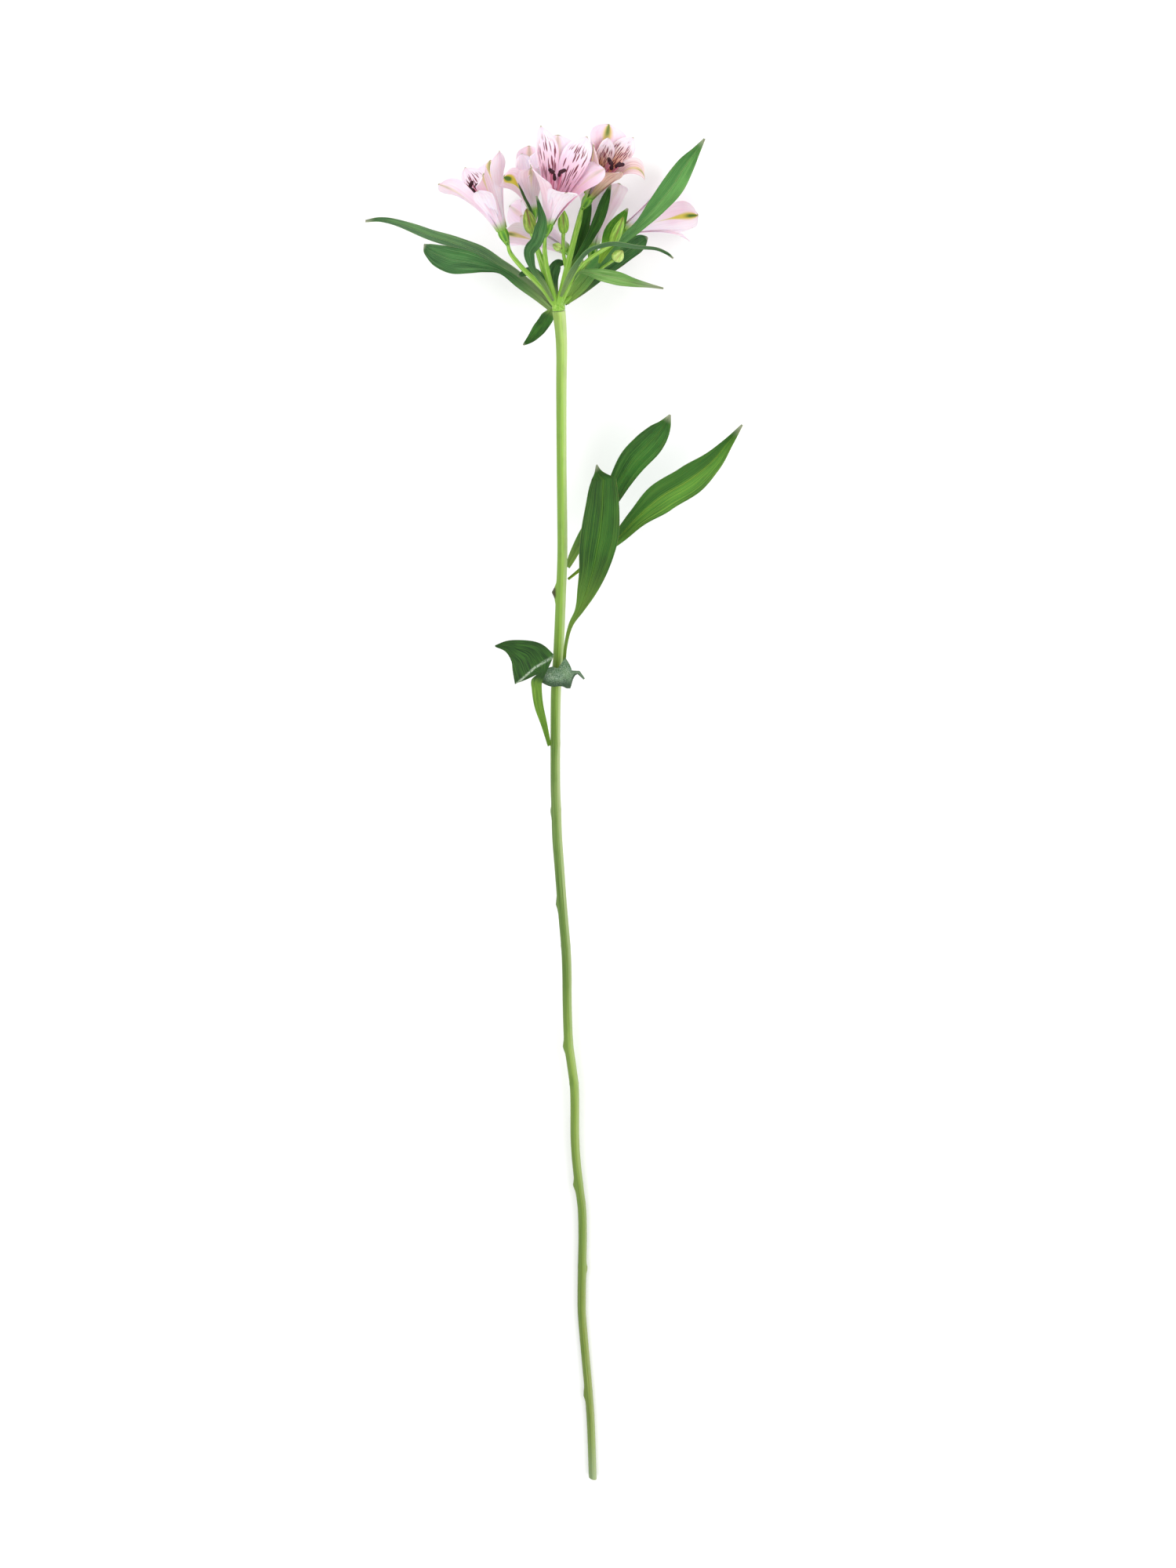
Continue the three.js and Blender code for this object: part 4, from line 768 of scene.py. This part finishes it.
def inner_petal_finish():
    """Pale pink, deeper in the throat, with broken maroon lines on its face."""
    finish = Finish("inner_petal", 0.2, 0.0015, IOR=1.35, Sheen_Weight=0.1)
    across, height = finish.surface_place()
    inside, lined, seed, depth = finish.marks()
    rose, tawny = depth.between(0, 1), depth.between(1, 2)
    rose = rose * (1 - tawny * 0.6)
    veins = finish.grain(across * 20, height * 1.6, seed, detail=3)
    colour = finish.mix(veins.between(0.35, 0.75) * 0.5, "F8ECF5", "EDC6DC")
    throat = height.between(0.05, 0.2) * (1 - height.between(0.3, 0.85))
    colour = finish.mix(throat * rose * (inside * 0.75 + 0.15), colour, "E98DB4")
    margin = 0.5 - (across - 0.5).math("ABSOLUTE")
    brown = finish.mix(veins.between(0.35, 0.65), "DDA67C", "AC6E48")
    low = height.between(0.05, 0.2) * (1 - height.between(0.4, 0.85)) * (0.7 + margin)
    colour = finish.mix((low * inside + (1 - inside) * 0.8) * tawny * 0.9, colour, brown)
    sway = finish.grain(across * 4, height * 5, seed) - 0.5
    slid = across + sway * 0.02
    upper_edge = 1 - (height + margin * -0.3).between(0.6, 0.76)
    field = height.between(0.16, 0.28) * margin.between(0.03, 0.12) * upper_edge
    lines = None
    for number, (cells_across, cells_along) in enumerate(((11, 3.4), (9, 4.3))):
        shift = seed * (47 + 20 * number)
        spread = finish.stretched(slid * cells_across + shift, height * cells_along + shift)
        cells = {"voronoi_dimensions": "2D", "feature": "F1"}
        spots = finish.node("TexVoronoi", cells, {"Vector": spread, "Scale": 1.0, "Randomness": 0.9})
        dashes = 1 - spots.between(0.17, 0.27)
        lines = dashes if lines is None else lines.math("MAXIMUM", dashes)
    field = field * (height.between(0.16, 0.4) * 0.35 + 0.65)
    colour = finish.mix(lines * field * lined * (inside * 0.8 + 0.15), colour, "6E1230")
    colour = finish.mix(height.between(0.94, 0.99) * 0.6, colour, "A0A254")
    colour = finish.mix((1 - height.between(0.1, 0.5)) * tawny * (1 - inside) * 0.8, colour, "8E8448")
    claw = 1 - height.between(0.0, 0.13)
    colour = finish.mix(claw * 0.9, colour, "8ABA40")
    return finish.wear(colour, 0.5 - veins * 0.08, veins, 0.0003)


def filament_finish():
    finish = Finish("filament", 0.2, 0.001)
    across, height = finish.surface_place()
    grain = finish.grain(across * 6, height * 12)
    colour = finish.mix(height.between(0.2, 0.9), "F0D6DF", "D7849F")
    return finish.wear(finish.mix(grain * 0.4, colour, "8E2F4E"), 0.45, grain, 0.0001)


def anther_finish():
    finish = Finish("anther", Specular_IOR_Level=0.3)
    across, height = finish.surface_place()
    grain = finish.grain(across * 26, height * 20, detail=4)
    colour = finish.mix(grain.between(0.35, 0.7), "2A0E18", "57303A")
    groove = across.bump(0.25, 0.06)
    return finish.wear(finish.mix(groove * 0.6, colour, "8F6A3C"), 0.75, grain - groove, 0.0003)


def bud_finish(name, light, dark, flush):
    """Ribbed green, with a flush of another colour up its seams."""
    finish = Finish(name, 0.15, 0.001)
    across, height = finish.surface_place()
    seams = (across * 3 + 0.5).math("FRACT").bump(0.5, 0.16)
    lines = finish.grain(across * 18, height * 2.5, detail=3)
    colour = finish.mix(lines.between(0.3, 0.7), dark, light)
    colour = finish.mix(seams * height.between(0.1, 0.5) * 0.8, colour, flush)
    colour = finish.mix(height.between(0.8, 1.0) * 0.6, colour, flush)
    return finish.wear(colour, 0.4, lines * 0.5 - seams, 0.0003)


PAINTS = {
    "stem": stem_finish(),
    "cut": cut_finish(),
    "stalk": stalk_finish("stalk_skin", "A6CC62", "78AC32", "4F8620"),
    "ovary": ovary_finish(),
    "deep": leaf_finish("deep_leaf", "629440", "316B20", "1E4A16", "7C9A84", gloss=0.38),
    "teal": leaf_finish("teal_leaf", "78A668", "3A7034", "245226", "8CA898", 0.34, "9DBB70", 0.3),
    "fresh": leaf_finish("fresh_leaf", "B8D68C", "78AC56", "568E3E", "9FBC98", tip=0.72),
    "front": leaf_finish("front_leaf", "5E8C30", "2A5E18", "184010", "7C9A84", 0.38, "93BC4C", 0.54),
    # The middle, large and long leaves below get painted shade over one half of the blade.
    "middle": leaf_finish(
        "middle_leaf", "92BC48", "4A8426", "285C18", "7C9A84", 0.4, "A8D048", 0.25, painted_half_shade=0.7,
    ),
    "large": leaf_finish("large_leaf", "9CC878", "5C9A4A", "3A7634", "8CAC90", 0.34, painted_half_shade=0.45),
    # The long leaf's pale foot colour B4CC94, over 0.45 of its length, is a painted sheen.
    "long": leaf_finish("long_leaf", "9CC080", "56884A", "30603A", "6A9C5C", 0.34, "B4CC94", 0.45, painted_half_shade=0.3),
    "bright": leaf_finish("bright_leaf", "8ABF3A", "4F8E1E", "2F6A18", "7FA060", base="A8D048", base_reach=0.4),
    "flap": flap_finish(),
    "curl": curl_finish(),
    "outer": outer_petal_finish(),
    "inner": inner_petal_finish(),
    "filament": filament_finish(),
    "anther": anther_finish(),
    "green_bud": bud_finish("green_bud", "A3CC45", "5E9424", "6A5A24"),
    "striped_bud": bud_finish("striped_bud", "A9C24A", "5C7A22", "6A3024"),
    "pale_bud": bud_finish("pale_bud", "D2E48C", "9CC450", "9AA04A"),
    # Darker greens for bud_dark: painted shade.
    "shade_darkened_bud": bud_finish("shade_darkened_bud", "5E7F30", "38551E", "4A2E20"),
}


# ---- Pieces -----------------------------------------------------------------------------------------

def tube_rings(path, count, sides, ribs=0, rib_height=0.0):
    """Rings round a path of (x, y, z, radius)."""
    rings = []
    for i in range(count + 1):
        t = i / count
        here = along(path, t)
        _, side, up = directions(path, t, 0.002)
        centre = Vector(here[:3])
        ring = []
        for j in range(sides):
            angle = 2 * math.pi * (j + 0.5) / sides - math.pi / 2
            radius = here[3] * (1 + rib_height * math.cos(ribs * angle))
            ring.append(centre + side * (radius * math.cos(angle)) - up * (radius * math.sin(angle)))
        rings.append(ring)
    return rings


def make_stem():
    rings = tube_rings(STEM_PATH, STEM_RINGS, STEM_SIDES, 5, 0.015)
    foot, head = STEM_PATH[0], STEM_PATH[-1]
    heights = []
    for ring in rings:
        middle = sum(ring, Vector()) / len(ring)
        heights.append(min(1, max(0, (middle.y - foot[1]) / (head[1] - foot[1]))))
        for point in ring:
            outwards = (point - middle).normalized()
            turn = math.atan2(outwards.z, outwards.x)
            for y, degrees, height in STEM_NUBS:
                if abs(middle.y - y) < NUB_REACH:
                    across = max(0, math.cos(turn - math.radians(degrees))) ** 6
                    lengthwise = math.exp(-(((middle.y - y) / NUB_SPREAD) ** 2))
                    scar = math.exp(-(((middle.y - y - SCAR_OFFSET) / SCAR_SPREAD) ** 2)) * SCAR_HEIGHT
                    point += outwards * (height * across * lengthwise + scar)
            point.z = max(point.z, 0)
    for point in rings[0]:
        point.y -= CUT_SLANT * (point.x - foot[0])
    piece = Piece("stem_skin")
    piece.tube(rings, 0, cap_slot=1, heights=heights)
    piece.finish((PAINTS["stem"], PAINTS["cut"]), "stem", "stem")


def bloom_frame(bloom):
    """The root, the axis and a function that gives the direction outwards at an angle from the back."""
    root = Vector(bloom["root"])
    axis = (Vector(bloom["mouth"]) - root).normalized()
    behind = Vector(bloom["back"])
    behind = (behind - axis * behind.dot(axis)).normalized()
    across = axis.cross(behind)

    def outwards(degrees):
        return behind * math.cos(math.radians(degrees)) + across * math.sin(math.radians(degrees))

    return root, axis, outwards


def make_umbel():
    piece = Piece("umbel_stalks_skin")
    piece.tube(tube_rings(HUB_PATH, 12, 20, 5, 0.03))
    for bloom in BLOOMS.values():
        root, axis, _ = bloom_frame(bloom)
        stations = [
            (*(root - axis * (part * OVARY_LENGTH + 0.2)), thick * OVARY_RADIUS)
            for part, thick in ((1.1, 0.3), (1, 0.36), (0.72, 0.66), (0.36, 0.98), (0, 0.88))
        ]
        piece.tube(tube_rings([*bloom["stalk"], stations[1], stations[2]], 40, 12))
        piece.tube(tube_rings(stations, 20, 36, 6, 0.09), slot=1)
    for bud in BUDS.values():
        piece.tube(tube_rings(bud["stalk"], 24, 10))
    piece.finish((PAINTS["stalk"], PAINTS["ovary"]), "stalk", "umbel_stalks")


def leaf_station(path, t):
    """The middle, the half width towards one side, and the upward direction at t along a leaf."""
    here = along(path, t)
    forward, side, up = directions(path, t)
    turn = Quaternion(forward, math.radians(here[4]))
    widths = [(number / (len(path) - 1), station[3]) for number, station in enumerate(path)]
    return Vector(here[:3]), turn @ side * max(NARROWEST_LEAF, outline_at(widths, t)), turn @ up


def edge_at(points, t):
    """The point at t along an edge that keeps its sharp corners and is smooth between them."""
    last = len(points) - 1
    k = min(int(t * last + 1e-6), last - 1)
    step = points[k + 1] - points[k]
    slopes = []
    for n in (k, k + 1):
        slope = step
        if 0 < n < last:
            past, coming = points[n] - points[n - 1], points[n + 1] - points[n]
            if past.angle(coming) < SHARP_CORNER:
                slope = (past.normalized() + coming.normalized()).normalized() * step.length
        slopes.append(slope)
    return hermite(points[k], points[k + 1], *slopes, t * last - k)


def make_leaf(name, leaf, seed):
    paint, waviness, path = leaf
    path = [(*station, 0)[:5] for station in path]
    last = len(path) - 1
    cornered = paint in CORNERED
    rows, columns = CORNERED_ROWS_PER_STATION * last if cornered else LEAF_ROWS, LEAF_COLUMNS
    stations = [leaf_station(path, k / last) for k in range(last + 1)]
    edges = [[middle + side * way for middle, side, _ in stations] for way in (-1, 1)]
    face, back = [], []
    for i in range(rows + 1):
        t = i / rows
        middle, side, up = leaf_station(path, t)
        if cornered:
            left, right = (edge_at(edge, t) for edge in edges)
            middle, side = (left + right) / 2, (right - left) / 2
            k = min(int(t * last + 1e-6), last - 1)
            up = stations[k][2].lerp(stations[k + 1][2], t * last - k).normalized()
        half = side.length
        face_row, back_row = [], []
        for j in range(columns + 1):
            v = 2 * j / columns - 1
            cup = 0.2 * half * abs(v) ** 1.5 - 0.05 * half * math.exp(-((v / 0.12) ** 2))
            ripple = waviness * v * abs(v) * math.sin(2 * math.pi * (2.2 * t + 0.15 * v))
            ripple += 0.02 * half * abs(v) ** 3 * math.sin(2 * math.pi * (7 * t + seed + 0.4 * v))
            spot = middle + side * v + up * (cup + ripple)
            thick = LEAF_THICKNESS * (1 - 0.5 * abs(v) ** 4)
            face_row.append(spot + up * (thick / 2))
            back_row.append(spot - up * (thick / 2))
        face.append(face_row)
        back.append(back_row)
    lay_on_surface(face, back)
    piece = Piece(name + "_blade")
    piece.blade(face, back, 0, (0, 0, seed, 1))
    piece.finish((PAINTS[paint],), "leaf", name)


def lay_on_surface(face, back):
    """Lifts what reaches below the surface, so that the blade lies flat on it."""
    for face_row, back_row in zip(face, back):
        for upper, lower in zip(face_row, back_row):
            lowest = min(upper.z, lower.z)
            if lowest < 0:
                upper.z -= lowest
                lower.z -= lowest


def petal_sheets(frame_of, petal, length, claw_radius, outline, seed):
    root, axis, outwards_at = frame_of
    degrees, tip, factor, curl, twist, width = (*petal, *PLAIN_PETAL[len(petal):])
    outwards = outwards_at(degrees)
    sideways = axis.cross(outwards)
    rows, columns = PETAL_ROWS, PETAL_COLUMNS
    reach = length * factor + PETAL_EXTRA_REACH
    widen = length / OUTER_LENGTH
    face, back = [], []
    radius, height, s = claw_radius, PETAL_START, 0.0

    def lean(at):
        bent = CLAW_LEAN + (tip - CLAW_LEAN) * at ** PETAL_BEND + curl * smoothstep(at, CURL_FROM, 1)
        return math.radians(bent)

    for i in range(rows + 1):
        goal = 1 - (1 - i / rows) ** 1.3
        while s < goal - 1e-6:
            step = min(1 / PETAL_SLICES, goal - s)
            radius += math.sin(lean(s)) * reach * step
            height += math.cos(lean(s)) * reach * step
            s += step
        angle = lean(goal)
        centre = root + outwards * radius + axis * height
        outer = outwards * math.cos(angle) - axis * math.sin(angle)
        turn = Quaternion(outer.cross(sideways), math.radians(twist) * goal)
        across, outer = turn @ sideways, turn @ outer
        half = outline_at(outline, goal) * widen * width
        curve = 1.3 * radius + 2
        ruffle = 0.4 * smoothstep(goal, 0.5, 0.85)
        face_row, back_row = [], []
        for j in range(columns + 1):
            v = 2 * j / columns - 1
            bend = v * half / curve
            normal = outer * math.cos(bend) + across * math.sin(bend)
            wave = ruffle * v * v * math.sin(2 * math.pi * (2.3 * goal + seed * 7 + 0.3 * v))
            keel = 0.3 * math.exp(-((v / 0.13) ** 2)) * (1 - smoothstep(goal, 0.8, 1))
            spot = centre + across * (curve * math.sin(bend)) + outer * (curve * (math.cos(bend) - 1))
            spot += normal * (wave + keel - 0.12)
            thick = PETAL_THICKNESS * (1 - 0.45 * abs(v) ** 4)
            face_row.append(spot)
            back_row.append(spot - normal * thick)
        face.append(face_row)
        back.append(back_row)
    lay_on_surface(face, back)
    return face, back


def make_petals(name, bloom, seed):
    frame_of = bloom_frame(bloom)
    root, axis, outwards = frame_of
    piece = Piece(name + "_petal_sheets")
    blushes = bloom.get("blush", (0.05,) * 3)
    dyes = [round(10 * keel) + 0.99 * blush for keel, blush in zip(bloom["keels"], blushes)]
    kinds = (
        (bloom["outer"], OUTER_LENGTH, OUTER_CLAW_RADIUS, OUTER_OUTLINE, dyes, 0),
        (bloom["inner"], INNER_LENGTH, INNER_CLAW_RADIUS, INNER_OUTLINE, bloom.get("lined", (0,) * 3), 0.07),
    )
    for slot, (petals, length, claw_radius, outline, colours, offset) in enumerate(kinds):
        for index, petal in enumerate(petals):
            mark = seed + 0.13 * index + offset
            face, back = petal_sheets(frame_of, petal, bloom["size"] * length, claw_radius, outline, mark)
            piece.blade(face, back, slot, (0, colours[index], mark, bloom["throat"]))
    cup = [
        [root + axis * high + outwards(-15 * j) * wide for j in range(24)]
        for high, wide in ((-0.3, 1.6), (0, 1.8), (0.6, 1.8), (CUP_DEPTH, 1.7), (CUP_DEPTH, 0.9))
    ]
    piece.tube([ring[::-1] for ring in cup], 2)
    piece.finish((PAINTS["outer"], PAINTS["inner"], PAINTS["ovary"]), "petal", name + "_petals")


def make_stamens(name, bloom):
    root, axis, outwards = bloom_frame(bloom)
    foot = CUP_DEPTH + 0.1
    leaning, hang, part = bloom["bundle"]
    lean_way = outwards(leaning)

    def at(degrees, spread, height, droop):
        return root + outwards(degrees) * spread + lean_way * droop + axis * (foot + height)

    def reach_of(factor):
        return bloom["size"] * FILAMENT_LENGTH * factor * part

    piece = Piece(name + "_stamen_set")
    for degrees, spread, factor in STAMENS:
        reach = reach_of(factor)
        end = at(degrees, spread, reach, hang)
        path = (
            (*at(degrees, 0.45, -0.3, 0), 0.4),
            (*at(degrees, 0.3 + spread * 0.3, reach * 0.35, hang * 0.2), 0.38),
            (*at(degrees, spread * 0.75, reach * 0.7, hang * 0.65), 0.33),
            (*end, 0.24),
        )
        piece.tube(tube_rings(path, 18, 8), 0)
        lean = (outwards(degrees + 40) + axis * 0.8).normalized()
        anther = [
            (*(end + lean * (part_way * ANTHER_LENGTH)), thick * ANTHER_RADIUS)
            for part_way, thick in (
                (-0.5, 0.25), (-0.4, 0.75), (-0.2, 1), (0, 0.95), (0.25, 0.95), (0.42, 0.65), (0.5, 0.2),
            )
        ]
        piece.tube(tube_rings(anther, 18, 14, 2, 0.1), 1)
    style = [
        (*at(0, 0, height * reach_of(1), droop * hang), 0.38)
        for droop, height in ((0, -0.02), (0.2, 0.35), (0.5, 0.65))
    ]
    piece.tube(tube_rings(style, 14, 8), 0)
    piece.finish((PAINTS["filament"], PAINTS["anther"]), "stamen", name + "_stamens")


def make_bud(name, bud):
    root = Vector(bud["stalk"][-1][:3])
    tip = Vector(bud["tip"])
    root += (tip - root).normalized() * 0.1
    path = [
        (*root.lerp(tip, k / 16), outline_at(BUD_OUTLINE, k / 16) * bud["radius"]) for k in range(17)
    ]
    piece = Piece(name + "_skin")
    piece.tube(tube_rings(path, 30, 30, 3, 0.06))
    piece.finish((PAINTS[BUD_PAINTS.get(name, "green_bud")],), "bud", name)


make_stem()
make_umbel()
for number, (leaf_name, leaf) in enumerate(LEAVES.items()):
    make_leaf(leaf_name, leaf, 0.37 * number % 1)
for number, (bloom_name, bloom) in enumerate(BLOOMS.items()):
    make_petals(bloom_name, bloom, 0.1 + 0.17 * number)
    make_stamens(bloom_name, bloom)
for bud_name, bud in BUDS.items():
    make_bud(bud_name, bud)


# ---- Floor, light and camera ------------------------------------------------------------------------

FLOOR_HALF = 6
FLOOR_DEPTH = -0.0002
CAMERA_TILT = math.radians(-16.7)
CAMERA_PLACE = Vector((0, 0.740496, 1.187))
SENSOR_SIZE = 36
FOCAL_PER_HEIGHT = 3230 / 2000
WORLD_STRENGTH = 1.06
LAMP_AIM = Vector((0, 0.15, 0))
# Name, place, size and power
LAMPS = (("key", (-0.9, 0.9, 1.5), 1.0, 7), ("fill", (1.2, 0.1, 1.3), 1.2, 5))


def floor_finish():
    finish = Finish("floor_paper", Specular_IOR_Level=0.1)
    spot = finish.node("TexCoord", output=3)
    grain = finish.noise(spot, 30, 3)
    return finish.wear(finish.mix(grain * 0.3, "FDFDFD", "F8F8F8"), 0.9)


def make_floor():
    mesh = bpy.data.meshes.new("floor")
    half, depth = FLOOR_HALF, FLOOR_DEPTH
    corners = [(-half, -half, depth), (half, -half, depth), (half, half, depth), (-half, half, depth)]
    mesh.from_pydata(corners, [], [(0, 1, 2, 3)])
    mesh.materials.append(floor_finish())
    floor = bpy.data.objects.new("floor", mesh)
    bpy.context.scene.collection.objects.link(floor)


def add_lamp(name, place, size, power):
    lamp = bpy.data.lights.new(name, "AREA")
    lamp.shape = "DISK"
    lamp.size = size
    lamp.energy = power
    holder = bpy.data.objects.new(name, lamp)
    holder.location = place
    holder.rotation_euler = (LAMP_AIM - Vector(place)).to_track_quat("-Z", "Y").to_euler()
    bpy.context.scene.collection.objects.link(holder)


def add_camera():
    """Looks down from above the blooms, 16.7 degrees off straight down towards the cut end."""
    camera = bpy.data.cameras.new("camera")
    camera.sensor_width = SENSOR_SIZE
    camera.lens = FOCAL_PER_HEIGHT * camera.sensor_width
    holder = bpy.data.objects.new("camera", camera)
    holder.location = CAMERA_PLACE + SHIFT
    holder.rotation_euler = (CAMERA_TILT, 0, 0)
    bpy.context.scene.collection.objects.link(holder)
    bpy.context.scene.camera = holder


def light_room():
    bpy.context.scene.view_settings.view_transform = "Standard"
    world = bpy.data.worlds.new("room")
    bpy.context.scene.world = world
    world.use_nodes = True
    background = world.node_tree.nodes["Background"]
    background.inputs["Color"].default_value = (1, 1, 1, 1)
    background.inputs["Strength"].default_value = WORLD_STRENGTH
    for lamp in LAMPS:
        add_lamp(*lamp)


make_floor()
add_camera()
light_room()
